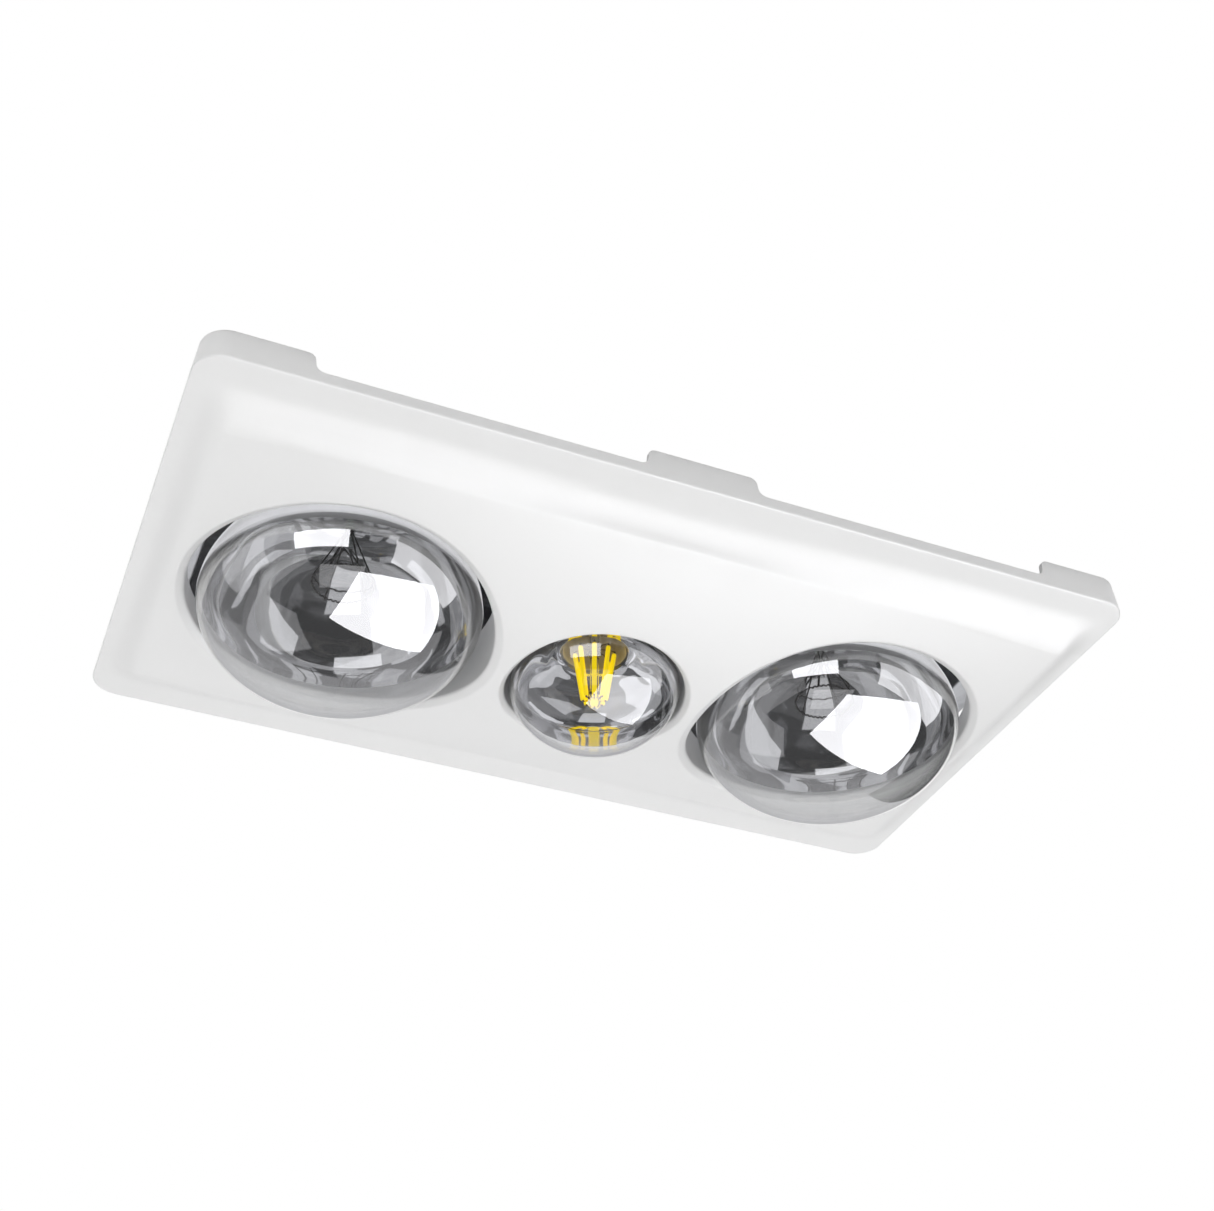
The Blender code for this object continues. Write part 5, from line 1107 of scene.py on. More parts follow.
def prism(outline, low, high):
    shape = bmesh.new()
    add_prism(shape, outline, low, high)
    return working(shape)


def rounded(stock, width, segments):
    """Round every edge of the stock before it is cut."""
    corners = stock.modifiers.new("round", "BEVEL")
    corners.width, corners.segments = width, segments
    return stock


def machined(name, node, finish, stock, joined=(), cut=(), edge=0, place=(0, 0, 0), **where):
    """Join and cut, break the edges by a width, and make the piece."""
    for tools, operation in ((joined, "UNION"), (cut, "DIFFERENCE")):
        for tool in tools:
            step = stock.modifiers.new("step", "BOOLEAN")
            step.operation, step.solver, step.object = operation, "EXACT", tool
    if edge:
        bevel = rounded(stock, edge, 2).modifiers[-1]
        bevel.limit_method, bevel.angle_limit = "ANGLE", radians(32)
    stock.modifiers.new("flats", "WEIGHTED_NORMAL").keep_sharp = True
    bpy.context.view_layer.update()
    graph = bpy.context.evaluated_depsgraph_get()
    mesh = bpy.data.meshes.new_from_object(stock.evaluated_get(graph), depsgraph=graph)
    for loose in [stock, *joined, *cut]:
        bpy.data.objects.remove(loose)
    mesh.name = name
    mesh.transform(Matrix.Translation([-v for v in place]))
    return settle(name, node, finish, mesh, place=place, **where)


print("bench helpers ready")

# %% [markdown]
# ## Metal and plastic finishes
#
# Galvanised sheet shows crystals a few millimetres wide, turned parts show fine rings, and plain
# mouldings show a grain. In the sheet and the metals one texture drives colour and roughness
# together, because in a real surface the same grain makes both; the mouldings take a separate noise
# for each.

# %% Sheet, zinc, steel and brass
def crystals(finish, scale):
    """The spangle of galvanised sheet: one even tone for each crystal."""
    texture = add(finish, "TexVoronoi", Scale=scale, Randomness=1.0)
    tones = add(finish, "SeparateColor")
    join(finish, (add(finish, "TexCoord").outputs["Object"], texture.inputs["Vector"]),
         (texture.outputs["Color"], tones.inputs["Color"]))
    return tones.outputs[0]


def metal(name, tone, second, roughness, scale, stretch=(1, 1, 1), **sockets):
    """A metal whose fine grain moves its colour, gloss and relief."""
    finish = new_finish(name, tone, roughness, Metallic=1.0, **sockets)
    factor = noise(finish, scale, 4.0, stretch)
    tint(finish, factor, tone, second)
    vary_roughness(finish, factor, roughness * 0.8, roughness * 1.25)
    bump(finish, factor, 0.00002, 0.6)
    return finish


tray_steel = new_finish("tray_steel", (0.62, 0.63, 0.64), 0.36, Metallic=0.95)
spangle = crystals(tray_steel, 210.0)
tint(tray_steel, spangle, (0.60, 0.61, 0.62), (0.67, 0.68, 0.69))
vary_roughness(tray_steel, spangle, 0.36, 0.46)
bump(tray_steel, noise(tray_steel, 40.0), 0.0002, 0.35)

zinc_plate = metal("zinc_plate", (0.66, 0.68, 0.70), (0.56, 0.57, 0.58), 0.30, 300.0, Coat_Weight=0.3)
bright_steel = metal("bright_steel", (0.72, 0.72, 0.72), (0.62, 0.62, 0.61), 0.20, 500.0, (1, 1, 0.08))
cap_nickel = metal("cap_nickel", (0.66, 0.64, 0.60), (0.50, 0.48, 0.44), 0.32, 400.0, (1, 1, 3))
shell_brass = metal("shell_brass", (0.80, 0.62, 0.30), (0.66, 0.48, 0.20), 0.28, 350.0)
rotor_iron = metal("rotor_iron", (0.42, 0.42, 0.43), (0.30, 0.30, 0.30), 0.38, 260.0, (4, 4, 0.3))
print("sheet and five metals ready")

# %% Stacked sheets and wound wire
BAND_SCALE = 0.314


def bands(finish, spacing, axis, low, high, first, second, height, drift):
    """Straight bands across one axis, as stacked sheets or neat windings show them."""
    texture = add(finish, "TexWave", Scale=BAND_SCALE / spacing, Distortion=drift, Detail_Scale=2.0)
    texture.wave_type, texture.bands_direction = "BANDS", axis
    join(finish, (add(finish, "TexCoord").outputs["Object"], texture.inputs["Vector"]))
    tint(finish, texture.outputs["Fac"], first, second)
    vary_roughness(finish, texture.outputs["Fac"], low, high)
    bump(finish, texture.outputs["Fac"], height, 0.8)


core_laminations = new_finish("core_laminations", (0.28, 0.28, 0.29), 0.45, Metallic=0.9)
bands(core_laminations, 0.0009, "Z", 0.5, 0.36, (0.13, 0.12, 0.12), (0.38, 0.38, 0.39), 0.0001, 0.4)
coil_winding = new_finish("coil_winding", (0.55, 0.24, 0.09), 0.3, Metallic=0.7, Coat_Weight=0.6)
bands(coil_winding, 0.0007, "X", 0.42, 0.24, (0.26, 0.08, 0.025), (0.74, 0.35, 0.14), 0.0002, 0.6)
print("laminations and winding ready")

# %% Mouldings and ceramic
def moulding(name, tone, roughness, grain=1400.0, depth=0.00003, ior=1.49, **sockets):
    """A plain plastic: slight drift of tone, spark-eroded grain."""
    finish = new_finish(name, tone, roughness, IOR=ior, **sockets)
    tint(finish, noise(finish, 14.0), [v * 0.95 for v in tone], [min(v * 1.03, 1) for v in tone])
    vary_roughness(finish, noise(finish, 90.0), roughness * 0.88, roughness * 1.12)
    bump(finish, noise(finish, grain, 2.0), depth, 0.6)
    return finish


grey_moulding = moulding("grey_moulding", (0.60, 0.61, 0.62), 0.46)
impeller_moulding = moulding("impeller_moulding", (0.045, 0.046, 0.05), 0.42)
flap_moulding = moulding("flap_moulding", (0.74, 0.74, 0.72), 0.5)
box_moulding = moulding("box_moulding", (0.055, 0.056, 0.06), 0.5, 900.0, 0.00006)
block_moulding = moulding("block_moulding", (0.80, 0.79, 0.72), 0.44)
bobbin_moulding = moulding("bobbin_moulding", (0.78, 0.76, 0.66), 0.45)
holder_ceramic = moulding("holder_ceramic", (0.83, 0.81, 0.75), 0.22, 300.0, 0.0001, 1.55,
                          Coat_Weight=0.8, Coat_Roughness=0.08)
print("mouldings and ceramic ready")

# %% [markdown]
# ## Caps and holders
#
# Each lamp screws into a ceramic holder with a brass shell. A screw thread can be turned as plain
# rings: nobody can see the lead of a thread this fine, and rings turn without gaping.

# %% Caps, holders and shells
SHEET, GAP, CAP_LENGTH, HOLDER_LENGTH = 0.0012, 0.0003, 0.036, 0.038
THREAD_ROWS = 50


def cap_line(neck):
    """Outside of a screw cap from the contact down over the thread, and back up inside."""
    top = neck + CAP_LENGTH
    line = mm((0, 0), (3.6, 0), (4.6, -0.6), (4.8, -1.6), (5.6, -2), (9.8, -4.4), (11.8, -6.4), up=top)
    start, end = top - 0.0072, neck + 0.0095
    for i in range(THREAD_ROWS + 1):
        wave = 0.5 - 0.5 * cos(2 * pi * i / 10)
        line.append((0.01215 + 0.00072 * wave, start + (end - start) * i / THREAD_ROWS))
    line += mm((12.15, 8.5), (12.4, 7), (12.9, 6), (12.9, 0.4), (12.6, 0), (12.1, 0), (12.1, 11),
               (10.9, 12.5), up=neck)
    return line + mm((10.5, -8), (8.5, -6.2), (0, -4.8), up=top)


def holder_lines(neck):
    """The ceramic body and, inside it, the brass shell."""
    ceiling = neck + CAP_LENGTH + GAP
    top, low = ceiling + 0.006, ceiling + 0.006 - HOLDER_LENGTH
    body = mm((0, 0), (19.9, 0), (20.8, -0.4), (21.1, -1.4), up=top)
    for groove in (-0.008, -0.013, -0.018):
        body += mm((21.1, 1.2), (20.5, 0.4), (20.5, -0.4), (21.1, -1.2), up=top + groove)
    body += mm((21.1, 6.8), (21.7, 6.1), (23.3, 5.9), (24, 5), (24.1, 1.2), (23.2, 0.2), (22.1, 0),
               (15.3, 0), (14.3, 0.5), (14.1, 1.4), up=low) + mm((14.1, 0), (0, 0), up=ceiling)
    shell_top = ceiling - GAP
    shell = mm((13.8, 0.4), (13.6, 0), (13.3, 0), (13.2, 0.4), up=low)
    return body, [(0.0138, shell_top)] + shell + [(0.0132, shell_top)]


def cap_and_holder(lamp, cap, holder):
    ceramic, shell = holder_lines(lamp.neck)
    turned_piece(f"{holder}_ceramic", holder, holder_ceramic, ceramic, 72, sharp=50, place=lamp.place)
    turned_piece(f"{holder}_brass", f"{holder}_shell", shell_brass, shell, 72, closed=True,
                 place=lamp.place)
    turned_piece(f"{cap}_threaded", cap, cap_nickel, cap_line(lamp.neck), 72, sharp=50, body=lamp.body,
                 place=lamp.place)


for side, lamp in HEAT_LAMPS:
    cap_and_holder(lamp, f"heat_lamp_cap_{side}", f"heat_lamp_{side}_holder")
cap_and_holder(LAMPS["centre"], "centre_lamp_cap", "centre_lamp_holder")
print("three caps and holders")

# %% [markdown]
# ## The housing tray
#
# The tray is drawn from one sheet, so every bend has a radius and the walls are stiffened by a rolled
# bead. A box with its edges bevelled would look machined. Here the sheet's own section is carried
# round the outline: flange, bend, wall with its bead, bend, top. The holes are punched afterwards.

# %% Tray section and outline
TRAY_HALF_X, TRAY_HALF_Y, TRAY_CORNER, TRAY_TOP = 0.1858, 0.0945, 0.008, 0.126
BEAD_Z, BEAD, BEAD_REACH, TRAY_STEP = 0.0720, 0.0011, 0.0036, 0.012


def tray_stations():
    """Points round the tray with their ways out: the corners' arcs, and more along the sides."""
    corners = []
    for k, (sx, sy) in enumerate(((1, 1), (-1, 1), (-1, -1), (1, -1))):
        x, y = sx * (TRAY_HALF_X - TRAY_CORNER), sy * (TRAY_HALF_Y - TRAY_CORNER)
        for a in (radians(90 * k + 90 * i / 8) for i in range(9)):
            corners.append((x + TRAY_CORNER * cos(a), y + TRAY_CORNER * sin(a), cos(a), sin(a)))
    stations = []
    for (x, y, nx, ny), (ex, ey, _, _) in zip(corners, corners[1:] + corners[:1]):
        length = hypot(ex - x, ey - y)
        parts = round(length / TRAY_STEP) if length > 0.02 else 1
        stations += [(x + (ex - x) * k / parts, y + (ey - y) * k / parts, nx, ny) for k in range(parts)]
    return stations


def bead(inset, quarters):
    """The bead's section, from below or from above."""
    lifts = [quarter / 4 - 1 for quarter in quarters]
    return [(BEAD * (0.5 + 0.5 * cos(pi * lift)) - inset, BEAD_Z + BEAD_REACH * lift) for lift in lifts]


def tray_stock():
    outside = mm((13.5, -0.9), (13.5, -0.3), (13.2, 0), (2.4, 0), (1.2, 0.2), (0.3, 0.9), (0, 2))
    outside += bead(0.0, range(9)) + mm((0, -3), (-0.4, -1.3), (-1.4, -0.3), (-3, 0), up=TRAY_TOP)
    inside = mm((-3, -1.2), (-2, -1.5), (-1.35, -2.1), (-1.2, -3.4), up=TRAY_TOP)
    inside += bead(SHEET, range(8, -1, -1))
    inside += mm((-1.2, 0.9), (-0.8, -0.2), (0, -1), (1.4, -1.2), (13.2, -1.2))
    shape, top, around = bmesh.new(), len(outside), tray_stations()
    rings = []
    for out, z in outside + inside:
        rings.append([shape.verts.new((x + nx * out, y + ny * out, z)) for x, y, nx, ny in around])
    for wall in (rings[:top], rings[top:], [rings[-1], rings[0]]):
        bridge_rings(shape, wall)
    shape.faces.new(rings[top - 1])
    shape.faces.new(rings[top][::-1])
    return working(shape)


CLAMPS = [(x, y) for x in (-0.150, 0.150) for y in (-0.1005, 0.1005)]
FAN_Y, INLET_RADIUS, SCREW_HOLE, RIVET_HOLE = 0.008, 0.0461, 0.0023, 0.0021
WIRE_HOLE, WIRE_HOLE_X = 0.0045, -0.109


def side_of(y):
    return 1 if y > 0 else -1


def housing_tray():
    joined, cut = [], []
    for x, y in CLAMPS:
        side = side_of(y)
        joined.append(block((x - 0.0052, side * 0.0940, 0.0236), (x + 0.0052, y + side * 0.0052, 0.0256)))
        cut += [upright(SCREW_HOLE, x, y, -0.003, 0.003), upright(SCREW_HOLE, x, y, 0.020, 0.030)]
    cut.append(upright(INLET_RADIUS, 0, FAN_Y, 0.12, 0.13, 96))
    cut.append(upright(WIRE_HOLE, WIRE_HOLE_X, 0, 0.12, 0.13, 32))
    for x in (-0.155, -0.095, 0.095, 0.155):
        cut += [upright(RIVET_HOLE, x, y, 0.12, 0.13, 20) for y in (-0.075, 0.075)]
    return machined("housing_pressing", "housing_tray", tray_steel, tray_stock(), joined, cut)


report("tray", housing_tray())

# %% [markdown]
# The lamp holders hang from folded straps between the long walls, and four small clips on the walls
# grip the fascia's posts. Folded strip is thin stock with its edges just broken.

# %% Brackets, clips and posts
STRAP_END, STRAP_HALF = 0.0930, 0.025


def bracket(name, x, z, node):
    half, end = STRAP_HALF, STRAP_END
    stock = block((x - half, -end, z), (x + half, end, z + SHEET))
    joined, cut = [], []
    for side in (-1, 1):
        fold, foot = side * (half - SHEET), side * (end - SHEET)
        joined.append(block((x + side * half, -0.0868, z - 0.008), (x + fold, 0.0868, z + SHEET / 2)))
        joined.append(block((x - half, side * end, z - 0.020), (x + half, foot, z + SHEET / 2)))
        window = side * 0.055
        cut.append(block((x - 0.006, window - 0.010, z - 0.001), (x + 0.006, window + 0.010, z + 0.003)))
        for hole in (x - 0.012, x + 0.012):
            near, far = sorted((side * (end + 0.002), side * (end - 0.004)))
            cut.append(bar(0.0022, (hole, near, z - 0.012), (hole, far, z - 0.012), 20))
    machined(name, node, zinc_plate, stock, joined, cut, 0.0003)


bracket("heat_lamp_left_strap", -HEAT_X, 0.1095, "heat_lamp_left_bracket")
bracket("heat_lamp_right_strap", HEAT_X, 0.1095, "heat_lamp_right_bracket")
bracket("centre_lamp_strap", 0.0, 0.0536, "centre_lamp_bracket")

POSTS = [(x, y) for x in (-0.056, 0.056) for y in (-0.0797, 0.0797)]
SHELF = 0.006


def clip(number, x, y):
    side = side_of(y)
    stock = block((x - 0.010, side * STRAP_END, SHELF), (x + 0.010, y - side * 0.009, SHELF + SHEET))
    back = block((x - 0.010, side * STRAP_END, SHELF + 0.0004), (x + 0.010, side * 0.0918, SHELF + 0.014))
    ferrule = upright(0.006, x, y, SHELF + 0.0006, SHELF + 0.0072, 40)
    cut = [upright(0.0033, x, y, SHELF - 0.001, SHELF + 0.009, 32)]
    machined(f"fascia_spring_clip_{number}", f"fascia_clip_{number}", zinc_plate, stock, [back, ferrule],
             cut, 0.00025)


def post(number, x, y):
    """A moulded pin with a rounded tip and a flared root, standing on the fascia's back."""
    root = face_height(x, y) + FASCIA_WALL - 0.0006
    line = mm((0, 0), (4.6, 0), (4.4, 1.2), (3.3, 2.6), (3, 4.2), up=root)
    line += mm((2.9, 13.2), (2.6, 14.2), (1.9, 14.8), (0.9, 15), (0, 15))
    turned_piece(f"fascia_post_{number}", None, white_moulding, line, 40, body="fascia", place=(x, y, 0))


for make in (clip, post):
    for number, (x, y) in enumerate(POSTS, 1):
        make(number, x, y)
print("three straps, four clips, four posts")

# %% [markdown]
# ## The fan
#
# The scroll's wall moves away from the wheel as it goes round, which is what turns the air outward
# into the mouth. It is a slab with that spiral outline, hollowed by the same spiral one wall smaller.

# %% Scroll and inlet ring
SCROLL_LOW, SCROLL_HIGH, SCROLL_WALL, MOUTH_TOP = 0.1263, 0.1883, 0.002, 0.1923
MOUTH_X, MOUTH_NEAR, MOUTH_FAR = 0.098, -0.092, -0.04916
TONGUE, SCROLL_START, SCROLL_GROWTH = 0.05716, 0.066, 0.034
SCREW_RING = 0.06525
FAN_PLACE = (0, FAN_Y, 0)
ON_FAN = {"body": "fan_wheel", "place": FAN_PLACE}


def around_fan(radius, turn):
    return (radius * cos(turn), FAN_Y + radius * sin(turn))


PLATE_SCREWS = [around_fan(SCREW_RING, radians(20 + 90 * i)) for i in range(4)]


def spiral(grow, mouth_x, steps=120):
    inner = TONGUE - grow
    start, end = -asin(inner / (SCROLL_START + grow)), radians(270)
    points = []
    for i in range(steps + 1):
        a = start + (end - start) * i / steps
        share = (a + radians(60)) / (end + radians(60))
        points.append(around_fan(SCROLL_START + SCROLL_GROWTH * share + grow, a))
    return points + [(mouth_x, FAN_Y - 0.100 - grow), (mouth_x, FAN_Y - inner)]


def mouth_flange(near_x, far_x):
    return block((near_x, MOUTH_NEAR - 0.006, SCROLL_LOW), (far_x, MOUTH_FAR + 0.006, MOUTH_TOP))


def scroll():
    stock = prism(spiral(SCROLL_WALL, MOUTH_X), SCROLL_LOW, SCROLL_HIGH)
    flange = mouth_flange(MOUTH_X - 0.003, MOUTH_X)
    cut = [prism(spiral(0.0, MOUTH_X + 0.001), 0.1283, 0.1863)]
    cut += [upright(INLET_RADIUS, 0, FAN_Y, 0.125, 0.130, 96), upright(0.061, 0, FAN_Y, 0.185, 0.190, 96)]
    cut += [upright(SCREW_HOLE, x, y, 0.185, 0.190, 20) for x, y in PLATE_SCREWS]
    return machined("scroll_moulding", "fan_scroll", grey_moulding, stock, [flange], cut, 0.0005)


report("scroll", scroll())
flare = mm((45.8, 130.7), (45.8, 124.9), (46.8, 124.2), (50, 124), (52, 123.7), (52.6, 123),
           (52.3, 122.2), (50.5, 120.4), (49.4, 119.6), (48.6, 119.6), (47, 120.6), (45.2, 122),
           (44.3, 123.4), (44, 125), (44, 130.5), (44.2, 130.7))
turned_piece("inlet_flare", "inlet_ring", grey_moulding, flare, 112, closed=True, place=FAN_PLACE)

# %% Wheel
WHEEL_RADIUS, WHEEL_LOW, WHEEL_TOP = 0.060, 0.1313, 0.1833
BLADES, BLADE_DEPTH, BLADE_THICKNESS, BLADE_SWEEP = 20, 0.011, 0.0012, radians(11)


def blade_outline(base):
    """A blade seen from above: it thins towards both edges and sweeps as it goes out."""
    faces = []
    for side in (-1, 1):
        face = []
        for share in (i / 8 for i in range(9)):
            r = WHEEL_RADIUS - 0.0006 - BLADE_DEPTH + BLADE_DEPTH * share
            thick = BLADE_THICKNESS * (1 - 0.55 * abs(2 * share - 1) ** 3)
            turn = base + BLADE_SWEEP * share * share + side * thick / 2 / r
            face.append((r * cos(turn), r * sin(turn)))
        faces.append(face)
    return faces[0] + faces[1][::-1]


def wheel():
    """Back plate and hub, the rim at the inlet, and twenty curved blades between them."""
    shape = bmesh.new()
    plate = mm((60, -0.3), (59.7, 0), (13, 0), (10, -0.4), (2.8, -0.4), (2.8, -22), (8.4, -22),
               (9, -21.4), (9.1, -6), (10.4, -3), (14, -1.7), (30, -1.6), (60, -1.6), up=WHEEL_TOP)
    rim = mm((60, 1.3), (60, 0.3), (59.7, 0), (55.3, 0), (55, 0.3), (55, 1.3), (55.3, 1.6),
             (59.7, 1.6), up=WHEEL_LOW)
    turned(shape, plate, 120, closed=True)
    turned(shape, rim, 120, closed=True)
    for blade in range(BLADES):
        add_prism(shape, blade_outline(2 * pi * blade / BLADES), WHEEL_LOW + 0.0010, WHEEL_TOP - 0.0010)
    return new_piece("blower_wheel", "impeller", impeller_moulding, shape, 40, **ON_FAN)


report("wheel", wheel())

# %% [markdown]
# ## The motor
#
# A shaded-pole motor is open to view, and each of its materials is easy to tell: stacked grey sheets,
# a copper winding on a pale bobbin, a dark rotor with bright end rings, two bent straps for bearings.

# %% Motor plate and screws
PLATE_LOW, PLATE_HIGH, CORE_LOW, CORE_HIGH = 0.1886, 0.1901, 0.2024, 0.2204
CORE_FAR, COIL_HALF = 0.0592, 0.0131
PILLARS = [(x, y) for x in (-0.025, 0.025) for y in (-0.012, 0.0542)]


def motor_plate():
    line = mm((69.5, -0.4), (69.3, 0), (46.1, 0), (44.8, 0.4), (43.6, 1.4), (42.2, 1.4), (41, 0.4),
              (39.8, 0), (7, 0), (6.8, -0.2), up=PLATE_HIGH)
    line += mm((6.8, 0), (40, 0), (41.4, 0.6), (42.9, 1), (44.4, 0.6), (45.8, 0), (69.3, 0),
               (69.5, 0.3), up=PLATE_LOW)
    pillars = [upright(0.004, x, y, PLATE_HIGH - 0.0007, CORE_LOW - GAP, 32) for x, y in PILLARS]
    cut = [upright(SCREW_HOLE, x, y, 0.187, 0.192, 20) for x, y in PLATE_SCREWS]
    stock = lathe(line, 0, FAN_Y, 120, closed=True)
    machined("motor_mounting_plate", "motor_plate", zinc_plate, stock, pillars, cut)


def cross_recess(x, y, top, way, reach):
    """Cutters for a cross in a screw's head; way is +1 where the head looks up."""
    floor, above = top - way * 0.0012, top + way * 0.001
    sizes = ((reach, 0.00045), (0.00045, reach))
    return [block((x - dx, y - dy, floor), (x + dx, y + dy, above)) for dx, dy in sizes]


def plate_screw(number, x, y):
    top = PLATE_HIGH + GAP + 0.0024
    line = mm((0, 0), (1.4, -0.1), (2.8, -0.6), (3.7, -1.4), up=top)
    line += mm((4, 0.6), (3.9, 0.3), (2, 0.3), up=PLATE_HIGH) + mm((2, 186.8), (1.6, 186.3), (0, 186.3))
    stock, cut = lathe(line, x, y, 32), cross_recess(x, y, top, 1, 0.0020)
    machined(f"pan_head_screw_{number}", f"motor_plate_screw_{number}", bright_steel, stock, cut=cut)


motor_plate()
for number, (x, y) in enumerate(PLATE_SCREWS, 1):
    plate_screw(number, x, y)
print("motor plate with four pillars and four screws")

# %% Core, winding, rotor and bearing straps
def motor_core():
    stock = block((-0.030, -0.017, CORE_LOW), (0.030, CORE_FAR, CORE_HIGH))
    window = block((-0.018, 0.0242, 0.20), (0.018, 0.0452, 0.23))
    gap = block((-0.0022, 0.0200, 0.20), (0.0022, 0.0250, 0.23))
    cut = [window, upright(0.0137, 0, FAN_Y, 0.20, 0.23, 64), gap]
    cut += [upright(0.0034, x, y, CORE_HIGH - 0.0004, CORE_HIGH + 0.001) for x, y in PILLARS]
    machined("lamination_stack", "motor_core", core_laminations, stock, cut=cut, edge=0.0003)


def winding_part(name, node, finish, low, high, edge=0, soft=False):
    """A block round the core's far leg."""
    stock = block(low, high)
    if soft:
        rounded(stock, 0.0045, 6)
    passage = block((low[0] - 0.001, 0.0449, CORE_LOW - 0.0003),
                    (high[0] + 0.001, CORE_FAR + 0.0003, CORE_HIGH + 0.0003))
    machined(name, node, finish, stock, cut=[passage], edge=edge, slot="coil_winding")


def bearing_strap(name, foot, way, node):
    half, low_y, high_y = 0.0202, FAN_Y - 0.007, FAN_Y + 0.007
    start = foot + way * GAP
    crest = start + way * 0.0095
    inside, tip = crest - way * 0.0006, crest - way * 0.0060
    stock = block((-half, low_y, crest), (half, high_y, crest - way * SHEET))
    joined = []
    for side in (-1, 1):
        joined.append(block((side * half, low_y, start), (side * (half - SHEET), high_y, inside)))
        toe = side * (half + 0.0035)
        joined.append(block((side * (half - 0.0006), low_y, start), (toe, high_y, start + way * SHEET)))
    joined.append(upright(0.0065, 0, FAN_Y, inside, tip, 40))
    cut = [upright(0.0028, 0, FAN_Y, min(crest, tip) - 0.001, max(crest, tip) + 0.001, 32)]
    machined(name, node, zinc_plate, stock, joined, cut, 0.0003)


motor_core()
winding_part("copper_winding", "motor_coil", coil_winding, (-COIL_HALF, 0.0370, 0.1942),
             (COIL_HALF, 0.0674, 0.2286), soft=True)
for tag, low_x, high_x in (("left", -0.0150, -COIL_HALF), ("right", COIL_HALF, 0.0150)):
    winding_part(f"bobbin_flange_{tag}", None, bobbin_moulding, (low_x, 0.0362, 0.1934),
                 (high_x, 0.0682, 0.2294), 0.0006)
bearing_strap("bearing_strap_upper", CORE_HIGH, 1, "bearing_bridge_upper")
bearing_strap("bearing_strap_lower", CORE_LOW, -1, "bearing_bridge_lower")

rotor = mm((13.2, -2.2), (13.1, -0.4), (12.7, 0), (9, 0), (8.6, -1.2), (2.8, -1.2), up=CORE_HIGH)
rotor += mm((2.8, 1.2), (8.6, 1.2), (9, 0), (12.7, 0), (13.1, 0.4), (13.2, 2.2), up=CORE_LOW)
turned_piece("cage_rotor", "motor_rotor", rotor_iron, rotor, 96, closed=True, **ON_FAN)
shaft = mm((0, 233.9), (2, 233.9), (2.5, 233.4), (2.5, 161.8), (2, 161.3), (0, 161.3))
turned_piece("steel_shaft", "motor_shaft", bright_steel, shaft, 48, **ON_FAN)
print("core, winding, two bearing straps, rotor and shaft")

# %% [markdown]
# ## The way out for the air
#
# The duct adaptor leads from a rectangle to a circle. Every ring has the same number of points, and the
# blend from square to round eases in and out, so the air and the light both meet a surface with no
# kink. The two flaps behind it hang on steel pins and fall shut when the fan stops.

# %% Duct adaptor
MOUTH_MIDDLE, MOUTH_Z, MOUTH_HALF_Z = (MOUTH_NEAR + MOUTH_FAR) / 2, 0.1573, 0.029
DUCT_Y, DUCT_Z, DUCT_RADIUS = -0.048, 0.1760, 0.0465
DUCT_START, DUCT_LOFT, SPIGOT, DUCT_END = 0.0998, 0.1298, 0.1598, 0.1838
SPIGOT_ROWS = ((0.56, 0), (0.61, 0.0003), (0.655, 0.0009), (0.7, 0.0012), (0.745, 0.0009), (0.79, 0.0003),
               (0.84, 0), (0.985, 0), (1.0, -0.0004))
FLAP_X, FLAP_PIVOTS = 0.1016, {"upper": 0.1833, "lower": 0.1549}


def duct_ring(x, share, grow, count=100):
    half_y, half_z = (MOUTH_FAR - MOUTH_NEAR) / 2 + grow, MOUTH_HALF_Z + grow
    blend, ring = ease(share), []
    middle_y = MOUTH_MIDDLE + (DUCT_Y - MOUTH_MIDDLE) * blend
    middle_z = MOUTH_Z + (DUCT_Z - MOUTH_Z) * blend
    for i in range(count):
        a = 2 * pi * (i + 0.5) / count
        reach = max(abs(cos(a)), abs(sin(a)))
        y = cos(a) * (half_y / reach * (1 - blend) + (DUCT_RADIUS + grow) * blend)
        z = sin(a) * (half_z / reach * (1 - blend) + (DUCT_RADIUS + grow) * blend)
        ring.append((x, middle_y + y, middle_z + z))
    return ring


def duct_adaptor():
    places = [(DUCT_START, 0.0)]
    places += [(DUCT_LOFT + (SPIGOT - DUCT_LOFT) * i / 24, i / 24) for i in range(25)]
    outer = [duct_ring(x, share, SCROLL_WALL) for x, share in places]
    for share, rise in SPIGOT_ROWS:
        outer.append(duct_ring(SPIGOT + (DUCT_END - SPIGOT) * share, 1.0, SCROLL_WALL + rise))
    inner = [duct_ring(x, share, 0.0) for x, share in places] + [duct_ring(DUCT_END, 1.0, 0.0)]
    shape = bmesh.new()
    rings = [[shape.verts.new(point) for point in ring] for ring in outer + inner[::-1]]
    bridge_rings(shape, rings + [rings[0]])
    cut = [block((0.0973, MOUTH_NEAR + 0.0025, 0.1308), (0.1015, MOUTH_FAR - 0.0025, 0.1866))]
    for z in FLAP_PIVOTS.values():
        cut.append(bar(0.0015, (FLAP_X, MOUTH_NEAR - 0.004, z), (FLAP_X, MOUTH_FAR + 0.004, z), 24))
    plate = mouth_flange(0.0983, 0.1013)
    return machined("duct_moulding", "duct_adaptor", grey_moulding, working(shape), [plate], cut, 0.0004)


report("duct adaptor", duct_adaptor())

